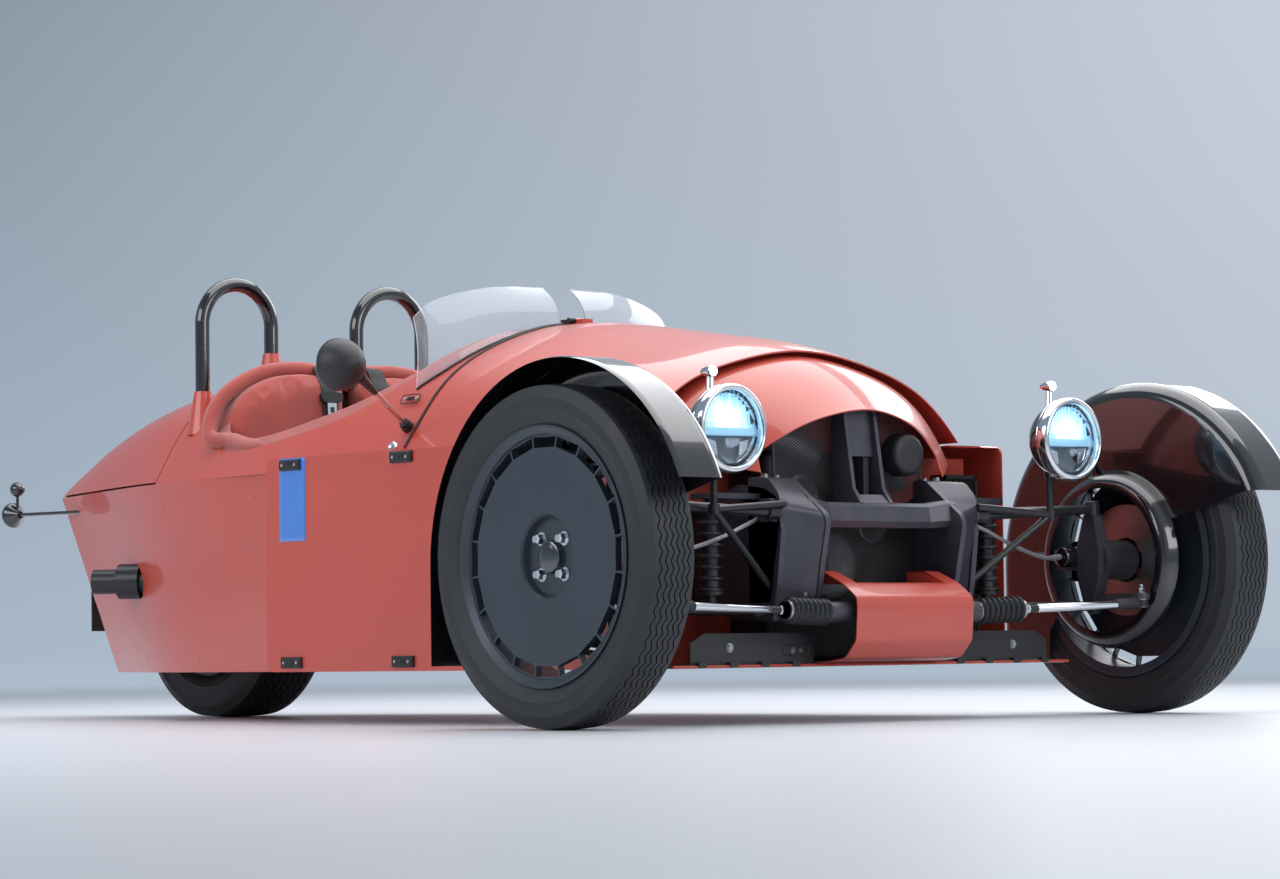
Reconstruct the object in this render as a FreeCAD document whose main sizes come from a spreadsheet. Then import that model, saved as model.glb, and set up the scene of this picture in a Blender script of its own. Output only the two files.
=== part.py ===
import FreeCAD, Part
import Sketcher
import os
from math import asin, cos, pi, sin, sqrt
from FreeCAD import Placement, Rotation, Vector

# Open three wheeled car: two steered wheels in front, one driven wheel behind.
# All lengths are in millimetres. Every piece is modelled from the middle of the front
# axle line on the ground, x forward, y to the left, z up, and is then moved forward so
# that the origin lies on the ground below the middle of the whole car.

doc = FreeCAD.newDocument("three_wheeled_car")
sheet = doc.addObject("Spreadsheet::Sheet", "Sizes")

SIZES = [
    # whole car
    ("overall_length", 3581), ("track", 1745), ("wheelbase", 2448), ("ground_gap", 122), ("tray_thickness", 8),
    # wheels
    ("front_tyre_radius", 358), ("front_tyre_width", 130), ("front_rim_radius", 262),
    ("front_disc_radius", 226), ("front_hub_radius", 84), ("fin_count", 20),
    ("rear_tyre_radius", 317), ("rear_tyre_width", 195), ("rear_rim_radius", 196),
    ("rim_flange", 10), ("bead_gap", 0.3), ("barrel_wall", 12),
    ("axle_radius", 20), ("axle_gap", 0.1), ("brake_disc_radius", 130), ("brake_disc_wall", 12),
    # knuckles and steering
    ("kingpin_half_track", 720), ("upright_top", 462), ("upright_foot", 264),
    ("kingpin_radius", 8), ("kingpin_gap", 0.06), ("ball_boss_radius", 18), ("ball_boss_height", 26),
    ("seat_gap", 0.3), ("arm_reach", 150), ("rack_forward", 106), ("rack_up", 239),
    ("rack_half", 226), ("gaiter_end", 360), ("rack_bar_radius", 8), ("rack_housing_radius", 23),
    ("gaiter_radius", 30), ("gaiter_mouth", 18), ("gaiter_waves", 8),
    # wings
    ("wing_radius", 425), ("wing_centre_forward", 45), ("wing_centre_up", 345), ("wing_skin", 3),
    ("wing_inner", 795), ("wing_outer", 950), ("wing_foot", 134), ("wing_front_tip", 505),
    ("wing_arch_radius", 211), ("wing_lip_round", 36), ("collar_mouth", 170), ("collar_reach", 46),
    # body sides
    ("skin", 4), ("crease_up", 600), ("side_half_width", 550), ("tub_front", 250),
    ("blade_front", 178), ("blade_back", 1438), ("blade_half_width", 607), ("blade_top", 628),
    ("blade_corner", 22), ("blade_skin", 4), ("tail_half_width", 450), ("lid_back", 2155),
    ("tail_end", 3110), ("tail_radius", 220), ("tail_foot_end", 2850), ("tail_foot_radius", 200),
    ("foot_inset", 30),
    # bonnet, scuttle and deck
    ("lip_back", 200), ("lip_crown", 832), ("seam_back", 1000), ("seam_crown", 946),
    ("scuttle_back", 1140), ("hoop_back", 2078), ("deck_crown", 888), ("panel_gap", 5),
    ("bonnet_foot", 634), ("cockpit_front", 1150), ("cockpit_back", 1960),
    ("cockpit_front_half", 395), ("cockpit_half", 478), ("cockpit_back_half", 420), ("trim_width", 24),
    ("trim_depth", 16),
    # nose
    ("nose_top", 700), ("nose_half_width", 240), ("nose_tip_up", 545), ("nose_skin", 4),
    # front frame
    ("beam_forward", 60), ("beam_top", 480), ("beam_height", 55), ("beam_half", 333),
    ("frame_plate", 14), ("pivot_up", 456), ("lower_pivot_up", 234), ("pivot_half", 333),
    ("tube_radius", 11),
    # lamps, mirrors, hoops
    ("lamp_forward", 135), ("lamp_half", 516), ("lamp_up", 627), ("lamp_radius", 93),
    ("lamp_depth", 112), ("post_forward", 66),
    ("mirror_back", 940), ("mirror_half", 750), ("mirror_up", 820), ("mirror_radius", 60),
    ("hoop_centre", 243.4), ("hoop_half", 107), ("hoop_tube", 18.65), ("hoop_top", 1132),
    ("boot_height", 70), ("tail_lamp_half", 262), ("tail_lamp_up", 557), ("tail_lamp_radius", 33),
    # cabin
    ("driver_half", 235), ("steering_wheel_radius", 160), ("rim_grip", 14),
    ("screen_thickness", 4),
]


def fill_sheet():
    """One named row for each driving size."""
    for row, (name, number) in enumerate(SIZES, start=1):
        sheet.set(f"A{row}", name)
        sheet.set(f"B{row}", str(number))
        sheet.setAlias(f"B{row}", name)
    doc.recompute()


fill_sheet()
size = {name: float(sheet.get(name)) for name, number in SIZES}
nodes = {}


def node(thing, label):
    """Give a piece its name and move it from the front axle line to the part's origin."""
    thing.Label = label
    reach = ("(Sizes.wing_centre_forward + sqrt(Sizes.wing_radius ^ 2"
             " - (Sizes.wing_front_tip - Sizes.wing_centre_up) ^ 2))")
    thing.setExpression("Placement.Base.x", f"Sizes.overall_length / 2 - {reach}")
    nodes[label] = thing
    return thing


def formed(label, shape):
    """A piece whose curved form is made by loft, sweep or cut."""
    thing = doc.addObject("Part::Feature", label)
    thing.Shape = shape
    return thing


def placed(thing, along="0", across="0", up="0", turn=None):
    """Set a helper's place by sheet rules, and its fixed turn."""
    if turn is not None:
        thing.Placement = Placement(Vector(), turn)
    thing.setExpression("Placement.Base.x", along)
    thing.setExpression("Placement.Base.y", across)
    thing.setExpression("Placement.Base.z", up)
    return thing


def mirrored(name, source):
    """The same piece on the other side of the car."""
    other = doc.addObject("Part::Mirroring", name)
    other.Source = source
    other.Normal = Vector(0, 1, 0)
    return other


def group(name, *things):
    whole = doc.addObject("Part::Compound", name)
    whole.Links = list(things)
    return whole


def origin_item(body, role):
    return next(item for item in body.Origin.OriginFeatures if item.Role == role)


def outline(body, name, role, corners, lift="0"):
    """Closed sketch through corners whose coordinates are sheet rules."""
    sketch = body.newObject("Sketcher::SketchObject", name)
    sketch.AttachmentSupport = (origin_item(body, role), [""])
    sketch.MapMode = "FlatFace"
    sketch.setExpression("AttachmentOffset.Base.z", lift)
    count = len(corners)
    for index in range(count):
        first, second = 2 * pi * index / count, 2 * pi * (index + 1) / count
        sketch.addGeometry(Part.LineSegment(Vector(100 * cos(first), 100 * sin(first), 0),
                                            Vector(100 * cos(second), 100 * sin(second), 0)), False)
    for index in range(count):
        sketch.addConstraint(Sketcher.Constraint("Coincident", index, 2, (index + 1) % count, 1))
    for index, rules in enumerate(corners):
        for kind, rule, start in zip(("DistanceX", "DistanceY"), rules, (cos, sin)):
            guess = 100 * start(2 * pi * index / count)
            place = sketch.addConstraint(Sketcher.Constraint(kind, -1, 1, index, 1, guess))
            sketch.setExpression(f"Constraints[{place}]", rule)
    return sketch


def revolved(body, name, corners):
    """Turn a profile given as (across, radius) about the wheel axis."""
    sketch = outline(body, name + "_profile", "YZ_Plane", corners)
    turned = body.newObject("PartDesign::Revolution", name)
    turned.Profile = sketch
    turned.ReferenceAxis = (origin_item(body, "Y_Axis"), [""])
    turned.Angle = 360
    doc.recompute()
    return turned


def rounded_edges(body, name, base, chosen, radius_rule):
    """Fillet the edges of base that the test chooses."""
    doc.recompute()
    names = [f"Edge{number}" for number, edge in enumerate(base.Shape.Edges, start=1) if chosen(edge)]
    fillet = body.newObject("PartDesign::Fillet", name)
    fillet.Base = (base, names)
    fillet.setExpression("Radius", radius_rule)
    doc.recompute()
    return fillet


def rod(first, second, radius, first_cut=0.0, second_cut=0.0):
    """Straight round tube between two points, cut back at its ends."""
    way = (second - first).normalize()
    start = first + way * first_cut
    return Part.makeCylinder(radius, (second - first).Length - first_cut - second_cut, start, way)


def box(low, high):
    return Part.makeBox(high[0] - low[0], high[1] - low[1], high[2] - low[2], Vector(*low))


def largest(shape):
    """The biggest solid of a shape that a cut has left in several."""
    return max(shape.Solids, key=lambda solid: solid.Volume)


def mirror_shape(shape):
    return shape.mirror(Vector(), Vector(0, 1, 0))


def plate_xz(corners, low_y, high_y):
    """Flat plate standing along the car, through (x, z) corners."""
    points = [Vector(x, low_y, z) for x, z in corners]
    return Part.Face(Part.makePolygon(points + points[:1])).extrude(Vector(0, high_y - low_y, 0))


# Wheels

def tyre(label, radius, width, bore):
    """Tyre ring with rounded shoulders and bulged walls, centred on its own axle."""
    body = doc.addObject("PartDesign::Body", label)
    half = f"Sizes.{width} / 2"
    inner, outer = f"(Sizes.{bore} + Sizes.bead_gap)", f"Sizes.{radius}"
    bead, heel = f"({half} - 14.5)", f"{inner} + Sizes.rim_flange + 1"
    corners = [(f"-{bead}", heel), (f"-{bead}", inner), (bead, inner), (bead, heel), (f"{half} - 3", f"{inner} + 28"),
               (half, f"({inner} + {outer}) / 2"), (f"{half} - 5", f"{outer} - 18"),
               (f"{half} - 18", f"{outer} - 4"), (f"{half} / 3", outer), (f"-{half} / 3", outer),
               (f"-({half} - 18)", f"{outer} - 4"), (f"-({half} - 5)", f"{outer} - 18"),
               (f"-({half})", f"({inner} + {outer}) / 2"), (f"-({half} - 3)", f"{inner} + 28")]
    revolved(body, label + "_ring", corners)
    return body


def front_rim():
    """Deep rim with a flat disc face, joined to the barrel by short radial fins."""
    body = doc.addObject("PartDesign::Body", "front_rim_form")
    seat, lip = "Sizes.front_rim_radius", "(Sizes.front_rim_radius + Sizes.rim_flange)"
    inside = "(Sizes.front_rim_radius - Sizes.barrel_wall)"
    disc, hub = "Sizes.front_disc_radius", "Sizes.front_hub_radius"
    half = "(Sizes.front_tyre_width / 2 - 8)"
    corners = [("10", "0"), ("10", f"{hub} + 8"), ("30", f"{hub} + 14"), ("30", inside),
               (f"-({half} - 4)", inside), (f"-{half}", f"{lip} - 5"), (f"-{half}", lip),
               (f"-({half} - 6)", lip), (f"-({half} - 6)", seat), (f"{half} - 6", seat),
               (f"{half} - 6", lip), (half, lip), (half, f"{lip} - 5"), (f"{half} - 9", f"{seat} - 8"),
               ("44", f"{seat} - 10"),
               ("46", disc), ("43", f"{hub} + 4"), ("38", hub), ("24", f"{hub} - 4"),
               ("24", "36"), ("32", "34"), ("32", "0")]
    turned = revolved(body, "front_rim_disc", corners)
    slot = body.newObject("Sketcher::SketchObject", "slot_outline")
    slot.AttachmentSupport = (origin_item(body, "XZ_Plane"), [""])
    slot.MapMode = "FlatFace"
    step = 2 * pi / size["fin_count"]
    low, high = size["front_disc_radius"] + 2, size["front_rim_radius"] - size["barrel_wall"]
    fin_half = 2.2
    points = []
    for radius, side in ((low, -1), (high, -1), (high, 1), (low, 1)):
        turn = side * (step / 2 - asin(fin_half / radius))
        points.append(Vector(radius * sin(turn), radius * cos(turn), 0))
    for start, end in zip(points, points[1:] + points[:1]):
        slot.addGeometry(Part.LineSegment(start, end), False)
    pocket = body.newObject("PartDesign::Pocket", "slot")
    pocket.Profile = slot
    pocket.Type = 1
    pocket.Midplane = True
    doc.recompute()
    ring = body.newObject("PartDesign::PolarPattern", "slots")
    ring.Originals = [pocket]
    ring.Axis = (origin_item(body, "Y_Axis"), [""])
    ring.Angle = 360
    ring.setExpression("Occurrences", "Sizes.fin_count")
    body.Tip = ring
    doc.recompute()
    return body


def front_brake_disc():
    """Brake disc and its bell, bolted to the back of the rim."""
    body = doc.addObject("PartDesign::Body", "front_brake_form")
    outer, wall = "Sizes.brake_disc_radius", "Sizes.brake_disc_wall"
    bore = "(Sizes.axle_radius + Sizes.axle_gap)"
    corners = [("10", bore), ("10", "64"), ("-30", "64"), ("-30", outer), (f"-30 - {wall}", outer),
               (f"-30 - {wall}", "52"), ("2", "52"), ("2", bore)]
    revolved(body, "front_brake_disc", corners)
    return body


def rear_rim():
    """Rear wheel: dished disc, barrel, and the toothed belt's pulley on its left."""
    body = doc.addObject("PartDesign::Body", "rim_rear")
    seat, lip = "Sizes.rear_rim_radius", "(Sizes.rear_rim_radius + Sizes.rim_flange)"
    inside = "(Sizes.rear_rim_radius - Sizes.barrel_wall)"
    half = "(Sizes.rear_tyre_width / 2 - 8)"
    bore = "(Sizes.axle_radius + Sizes.axle_gap)"
    corners = [(f"-{half}", bore), (f"-{half}", "44"), ("-20", "60"), ("-8", inside),
               (f"-{half}", inside), (f"-{half}", lip), (f"-({half} - 6)", lip),
               (f"-({half} - 6)", seat), (f"{half} - 6", seat), (f"{half} - 6", lip), (half, lip),
               (half, inside), ("8", inside), ("20", "60"), (half, "44"), (half, bore)]
    revolved(body, "rear_rim_form", corners)
    return body


def wheels():
    centre_left = ("0", "Sizes.track / 2", "Sizes.front_tyre_radius")
    ring = placed(tyre("front_tyre_form", "front_tyre_radius", "front_tyre_width", "front_rim_radius"),
                  *centre_left)
    rim = placed(front_rim(), *centre_left)
    disc = placed(front_brake_disc(), *centre_left)
    for label, form in (("tyre_front", ring), ("rim_front", rim), ("brake_disc", disc)):
        node(group(label + "_left", form), label + "_left")
        node(mirrored(label + "_right", form), label + "_right")
    centre_rear = ("-Sizes.wheelbase", "0", "Sizes.rear_tyre_radius")
    rear = placed(tyre("rear_tyre_form", "rear_tyre_radius", "rear_tyre_width", "rear_rim_radius"),
                  *centre_rear)
    node(group("tyre_rear", rear), "tyre_rear")
    node(group("rim_rear", placed(rear_rim(), *centre_rear)), "rim_rear")


# Knuckles, steering and wings

def knuckle():
    """Left upright: hub, stub axle, steering arm, caliper and the two kingpin stubs."""
    pin_y, wheel_y, hub_up = size["kingpin_half_track"], size["track"] / 2, size["front_tyre_radius"]
    top, foot = size["upright_top"], size["upright_foot"]
    web = Part.makeLoft([
        Part.makePolygon([Vector(x, y, z) for x, y in
                          ((-w, pin_y - d), (w, pin_y - d), (w, pin_y + d), (-w, pin_y + d), (-w, pin_y - d))])
        for z, w, d in ((foot, 17, 15), (hub_up - 30, 34, 19), (hub_up + 30, 34, 19), (top, 15, 14))],
        True, True)
    hub = Part.makeCylinder(46, wheel_y - 46 - pin_y, Vector(0, pin_y, hub_up), Vector(0, 1, 0))
    stub = Part.makeCylinder(size["axle_radius"], wheel_y + 9 - pin_y, Vector(0, pin_y, hub_up),
                             Vector(0, 1, 0))
    shape = web.fuse([hub, stub])
    boss = size["ball_boss_height"]
    for low in (top, foot - boss):
        shape = shape.fuse(Part.makeCylinder(size["kingpin_radius"], boss, Vector(0, pin_y, low)))
    arm = box((0, pin_y - 13, foot), (size["arm_reach"], pin_y + 13, foot + 14))
    eye = Part.makeCylinder(19, 14, Vector(size["arm_reach"], pin_y, foot))
    shape = shape.fuse([arm, eye])
    disc_in = wheel_y - 30 - size["brake_disc_wall"]
    caliper = box((-150, disc_in - 24, hub_up - 46), (-92, wheel_y - 30 + 20, hub_up + 46))
    slot = box((-140, disc_in - 2.5, hub_up - 60), (-60, wheel_y - 30 + 2.5, hub_up + 60))
    bridge = box((-110, pin_y - 6, hub_up - 22), (-20, disc_in - 12, hub_up + 22))
    return shape.fuse([caliper.cut(slot), bridge]).removeSplitter()


def hub_collar(inner):
    """Rounded flange that stands out towards the car round the wing's opening."""
    outer, mouth, reach = size["wing_arch_radius"], size["collar_mouth"], size["collar_reach"]
    skin, hub_up = size["wing_skin"], size["front_tyre_radius"]
    swell = Vector(0, inner - 0.72 * reach, hub_up + mouth + 0.66 * (outer - mouth))
    edge = Part.BSplineCurve()
    edge.interpolate([Vector(0, inner + skin, hub_up + outer + 1), Vector(0, inner - 0.2 * reach, hub_up + outer - 4),
                      swell, Vector(0, inner - reach, hub_up + mouth)])
    band = edge.toShape().extrude(Vector(0, 0, -skin))
    return band.revolve(Vector(0, inner, hub_up), Vector(0, 1, 0), 360)


def wing():
    """Left cycle wing: rolled band over the tyre, closed on the car's side."""
    radius, skin = size["wing_radius"], size["wing_skin"]
    cx, cz, foot = size["wing_centre_forward"], size["wing_centre_up"], size["wing_foot"]
    inner, outer, tip = size["wing_inner"], size["wing_outer"], size["wing_front_tip"]

    def silhouette(reach, low_y, high_y, floor):
        drum = Part.makeCylinder(reach, high_y - low_y, Vector(cx, low_y, cz), Vector(0, 1, 0))
        skirt = box((cx - reach, low_y, floor), (cx, high_y, cz))
        return drum.fuse(skirt).removeSplitter()

    shell = silhouette(radius, inner, outer, foot)
    rims = [edge for edge in shell.Edges if edge.Curve.TypeId == "Part::GeomCircle"
            or abs(edge.Vertexes[0].X - edge.Vertexes[-1].X) < 1e-6 and edge.Vertexes[0].X < cx - radius + 1]
    rims = [edge for edge in rims if abs(edge.Vertexes[0].Y - edge.Vertexes[-1].Y) < 1e-6]
    shell = shell.makeFillet(size["wing_lip_round"], rims)
    hollow = silhouette(radius - skin, inner + skin, outer + 1, foot - 1)
    hollow = hollow.makeFillet(size["wing_lip_round"] - skin,
                               [edge for edge in hollow.Edges if edge.Vertexes[0].Y < inner + skin + 0.1
                                and edge.Vertexes[-1].Y < inner + skin + 0.1
                                and (edge.Curve.TypeId == "Part::GeomCircle"
                                     or abs(edge.Vertexes[0].X - cx + radius - skin) < 0.1
                                     and abs(edge.Vertexes[-1].X - cx + radius - skin) < 0.1)])
    shell = shell.cut(hollow)
    hub_up = size["front_tyre_radius"]
    arch = Part.makeCylinder(size["wing_arch_radius"], 200, Vector(0, inner - 50, hub_up), Vector(0, 1, 0))
    open_front = plate_xz([(-215, -200), (600, -200), (600, tip), (cx + 360, tip),
                           (185, hub_up + 92), (-100, hub_up), (-215, foot + 60)], inner - 10, outer + 10)
    below = box((cx - radius - 1, inner - 10, -radius), (cx + radius, outer + 10, foot))
    collar = hub_collar(inner).cut(open_front)
    shell = shell.cut([arch, open_front, below]).fuse(collar)
    arm_z = size["wing_arch_radius"] + hub_up
    pin_y = size["kingpin_half_track"]
    stay = rod(Vector(-20, pin_y + 10, size["upright_top"] - 30), Vector(-70, inner + 1, arm_z + 40), 7)
    back_stay = rod(Vector(-60, pin_y + 10, hub_up + 10), Vector(-250, inner + 1, hub_up + 20), 7)
    return shell, stay, back_stay


def steering():
    """Sliding rack with its two rods, and the housing with its gaiters."""
    ahead, up, half = size["rack_forward"], size["rack_up"], size["rack_half"]
    pin_y, reach = size["kingpin_half_track"], size["arm_reach"]
    radius = size["rack_bar_radius"]
    end_up = size["upright_foot"] - size["seat_gap"] - 9
    inner_joint = Vector(ahead, half, up)
    outer_joint = Vector(reach, pin_y, end_up)
    bar = rod(Vector(ahead, -half, up), inner_joint, radius)
    shape = bar
    for side in (1, -1):
        inner_point = Vector(inner_joint.x, side * inner_joint.y, inner_joint.z)
        outer_point = Vector(outer_joint.x, side * outer_joint.y, outer_joint.z)
        link = rod(inner_point, outer_point, radius)
        ball = Part.makeSphere(radius + 1, inner_point)
        eye = Part.makeCylinder(15, 18, outer_point - Vector(0, 0, 9))
        shape = shape.fuse([link, ball, eye])
    node(formed("tie_rods", shape), "tie_rods")
    bore = Part.makeCylinder(radius + 1.5, 2 * half + 2, Vector(ahead, -half - 1, up), Vector(0, 1, 0))
    travel = 75
    housing = Part.makeCylinder(size["rack_housing_radius"], 2 * half, Vector(ahead, -half, up),
                                Vector(0, 1, 0)).cut(bore)
    for low in (-half - 1, half - travel):
        housing = housing.cut(Part.makeCylinder(size["gaiter_mouth"], travel + 1, Vector(ahead, low, up),
                                                Vector(0, 1, 0)))
    node(formed("steering_rack", housing), "steering_rack")
    waves, gaiter = int(size["gaiter_waves"]), []
    start, end = half, size["gaiter_end"]
    pitch = (end - start) / waves
    lean_room = 1.9
    first = size["seat_gap"] + lean_room
    profile = [Vector(0, first, size["gaiter_mouth"])]
    for wave in range(waves):
        low = first + wave * pitch
        profile += [Vector(0, low, size["gaiter_radius"] - 9), Vector(0, low + pitch / 2, size["gaiter_radius"])]
    profile += [Vector(0, end - start, size["gaiter_radius"] - 9), Vector(0, end - start, size["gaiter_mouth"])]
    ring = Part.Face(Part.makePolygon(profile + profile[:1])).revolve(Vector(), Vector(0, 1, 0), 360)
    ring.Placement = Placement(inner_joint, Rotation(Vector(0, 1, 0), outer_joint - inner_joint))
    node(formed("gaiters", Part.makeCompound([ring, mirror_shape(ring)])), "gaiters")


def front_corners():
    upright = formed("upright_left", knuckle())
    node(upright, "upright_left")
    node(formed("upright_right", mirror_shape(upright.Shape)), "upright_right")
    shell, stay, back_stay = wing()
    left = shell.fuse([stay.cut(upright.Shape), back_stay.cut(upright.Shape)])
    node(formed("wing_left", left), "wing_left")
    node(formed("wing_right", mirror_shape(left)), "wing_right")


# Body shell

def arch_station(back, crown, half, low, shares=(0.86, 0.57, 0.17)):
    """Points of one cross section from the right edge over the crown to the left edge."""
    rise = crown - low
    right = [(-half, low), (-0.92 * half, low + shares[2] * rise), (-0.72 * half, low + shares[1] * rise),
             (-0.40 * half, low + shares[0] * rise)]
    left = [(-y, z) for y, z in reversed(right)]
    return [Vector(-back, y, z) for y, z in right + [(0, crown)] + left]


def section_wire(points, floor):
    """Closed section: the arch, two short sides down to a common floor, and that floor."""
    curve = Part.BSplineCurve()
    curve.interpolate(points)
    first, last = points[0], points[-1]
    foot_last, foot_first = Vector(last.x, last.y, floor), Vector(first.x, first.y, floor)
    return Part.Wire([curve.toShape(), Part.makeLine(last, foot_last),
                      Part.makeLine(foot_last, foot_first), Part.makeLine(foot_first, first)])


def side_half(back):
    """Half width of the body at the crease, measured behind the front axle."""
    straight, lid, wide, narrow = size["blade_back"], size["lid_back"], size["side_half_width"], size["tail_half_width"]
    centre = size["tail_end"] - size["tail_radius"]
    if back <= straight:
        return wide
    if back <= lid:
        share = (back - straight) / (lid - straight)
        return wide + (narrow - wide) * share ** 1.25
    tangent = centre + 0.45 * size["tail_radius"]
    tangent_half = 0.893 * size["tail_radius"]
    if back <= tangent:
        share = (back - lid) / (tangent - lid)
        return narrow + (tangent_half - narrow) * share ** 1.12
    return sqrt(max(size["tail_radius"] ** 2 - (back - centre) ** 2, 1.0))


def upper_solid(inset):
    """Solid below the bonnet, scuttle and deck surface, drawn in by the inset."""
    low = size["crease_up"]
    lip, seam, deck, lid = size["lip_crown"], size["seam_crown"], size["deck_crown"], size["lid_back"]
    stations = [
        (size["lip_back"], lip, 0.93, (0.87, 0.60, 0.22)),
        (size["lip_back"] + 200, lip + 0.40 * (seam - lip), 0.975, (0.86, 0.585, 0.19)),
        (size["lip_back"] + 450, lip + 0.72 * (seam - lip), 1.0, (0.86, 0.575, 0.18)),
        (size["seam_back"], seam, 1.0, (0.86, 0.57, 0.17)),
        (size["scuttle_back"] + 100, seam + 2, 1.0, (0.86, 0.57, 0.17)),
        (size["blade_back"] + 150, seam - 14, 1.0, (0.87, 0.60, 0.18)),
        (size["hoop_back"] - 200, deck + 10, 1.0, (0.88, 0.62, 0.20)),
        (size["hoop_back"], deck, 1.0, (0.89, 0.63, 0.21)),
        (lid + 145, deck - 14, 1.0, (0.90, 0.66, 0.23)),
        (lid + 345, deck - 50, 1.0, (0.90, 0.68, 0.25)),
        (lid + 545, deck - 106, 1.0, (0.90, 0.69, 0.27)),
        (lid + 705, deck - 168, 1.0, (0.90, 0.70, 0.28)),
        (lid + 825, deck - 222, 1.0, (0.90, 0.70, 0.28)),
        (size["tail_end"] - 60, deck - 254, 1.0, (0.90, 0.70, 0.28)),
        (size["tail_end"] - 15, deck - 272, 1.0, (0.90, 0.70, 0.28)),
    ]
    wires = []
    for back, crown, share, shape in stations:
        points = arch_station(back, crown - inset, share * side_half(back) - inset, low, shape)
        wires.append(section_wire(points, low - 40))
    return Part.makeLoft(wires, True, False)


def waterline(height, front, wide, straight_back, lid, narrow, end, radius, inset):
    """Closed plan outline of the lower body at one height."""
    wide, narrow, radius = wide - inset, narrow - inset, radius - inset
    centre = Vector(-(end - radius - inset), 0, height)
    lean = 0.45
    tangent = Vector(centre.x - lean * radius, sqrt(1 - lean ** 2) * radius, height)
    side_start, lid_point = Vector(-straight_back, wide, height), Vector(-lid, narrow, height)
    middle = Vector(-(straight_back + lid) / 2, narrow + (wide - narrow) * 0.58, height)
    left = [side_start, middle, lid_point, (lid_point + tangent) * 0.5 + Vector(0, 6, 0), tangent]

    def flip(point):
        return Vector(point.x, -point.y, point.z)

    side, other = Part.BSplineCurve(), Part.BSplineCurve()
    side.interpolate(left)
    other.interpolate([flip(point) for point in reversed(left)])
    bow = Part.Arc(tangent, Vector(centre.x - radius, 0, height), flip(tangent))
    start = Vector(-front, wide, height)
    return Part.Wire([Part.makeLine(flip(start), start), Part.makeLine(start, side_start), side.toShape(),
                      bow.toShape(), other.toShape(), Part.makeLine(flip(side_start), flip(start))])


def lower_solid(inset, floor_lift=0.0, top_lift=0.0):
    """Solid of the lower body, from its flat floor up to the crease."""
    low, top = size["ground_gap"] + floor_lift, size["crease_up"]
    wires = []
    for share in (0.0, 0.5, 1.0):
        height = low + (top - low) * share
        foot = 1 - share
        wires.append(waterline(
            height, size["tub_front"] + inset, size["side_half_width"] - size["foot_inset"] * foot * foot,
            size["blade_back"] - 40, size["lid_back"], size["tail_half_width"] - 40 * foot,
            size["tail_end"] - (size["tail_end"] - size["tail_foot_end"]) * foot,
            size["tail_radius"] - (size["tail_radius"] - size["tail_foot_radius"]) * foot, inset))
    solid = Part.makeLoft(wires, True, False)
    if top_lift:
        cap = Part.Face(wires[-1]).extrude(Vector(0, 0, top_lift))
        solid = solid.fuse(cap)
    return solid


def between(shape, first_back, last_back, low=0.0, high=2000.0):
    """The slice of a shape between two distances behind the axle."""
    return shape.common(box((-last_back, -1000, low), (-first_back, 1000, high)))


def cockpit_prism(inset=0.0):
    """Upright prism with the plan outline of the cockpit opening."""
    front, back = size["cockpit_front"] + inset, size["cockpit_back"] - inset
    wide, fore, aft = size["cockpit_half"] - inset, size["cockpit_front_half"] - inset, size["cockpit_back_half"] - inset
    curve = Part.BSplineCurve()
    curve.interpolate([Vector(-front, fore * 0.9, 500), Vector(-(front + 60), fore + 20, 500),
                       Vector(-(front + 250), wide - 6, 500), Vector(-(front + 500), wide, 500),
                       Vector(-(back - 130), wide - 22, 500), Vector(-(back - 25), aft - 18, 500),
                       Vector(-back, aft - 90, 500)])
    mirror_curve = curve.toShape().mirror(Vector(), Vector(0, 1, 0))
    fore_line = Part.makeLine(Vector(-front, -fore * 0.9, 500), Vector(-front, fore * 0.9, 500))
    aft_line = Part.makeLine(Vector(-back, -(aft - 90), 500), Vector(-back, aft - 90, 500))
    wire = Part.Wire(Part.__sortEdges__([curve.toShape(), mirror_curve, fore_line, aft_line]))
    return Part.Face(wire).extrude(Vector(0, 0, 700))


def wheel_well():
    """Opening in the floor that the rear wheel reaches through."""
    back, radius, half = size["wheelbase"], size["rear_tyre_radius"], size["rear_tyre_width"] / 2
    return box((-back - radius - 35, -half - 30, 0), (-back + radius + 60, half + 30, size["ground_gap"] + 40))


def hinge(along, up, toward, outer):
    """Small piano hinge on top of a shut line: the fixed leaf with its pin, and the moving leaf."""
    pin, eye, half, inner_half = 3.0, 6.0, 34.0, 14.0
    gap = size["seat_gap"]
    axis_point = Vector(along, 0, up)

    def leaf(low_y, high_y, way):
        barrel = Part.makeCylinder(eye, high_y - low_y, axis_point + Vector(0, low_y, 0), Vector(0, 1, 0))
        reach = along + way * 34
        flap = box((min(along, reach), low_y, up - 22), (max(along, reach), high_y, up + 2))
        return barrel.fuse(flap)

    moving = leaf(-inner_half, inner_half, toward)
    moving = moving.cut(Part.makeCylinder(pin + 0.05, 60, axis_point - Vector(0, 30, 0), Vector(0, 1, 0)))
    fixed = leaf(inner_half + gap, half, -toward).fuse(leaf(-half, -inner_half - gap, -toward))
    fixed = fixed.fuse(Part.makeCylinder(pin, 2 * half, axis_point - Vector(0, half, 0), Vector(0, 1, 0)))
    return fixed.cut(outer), moving.cut(outer)


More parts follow.
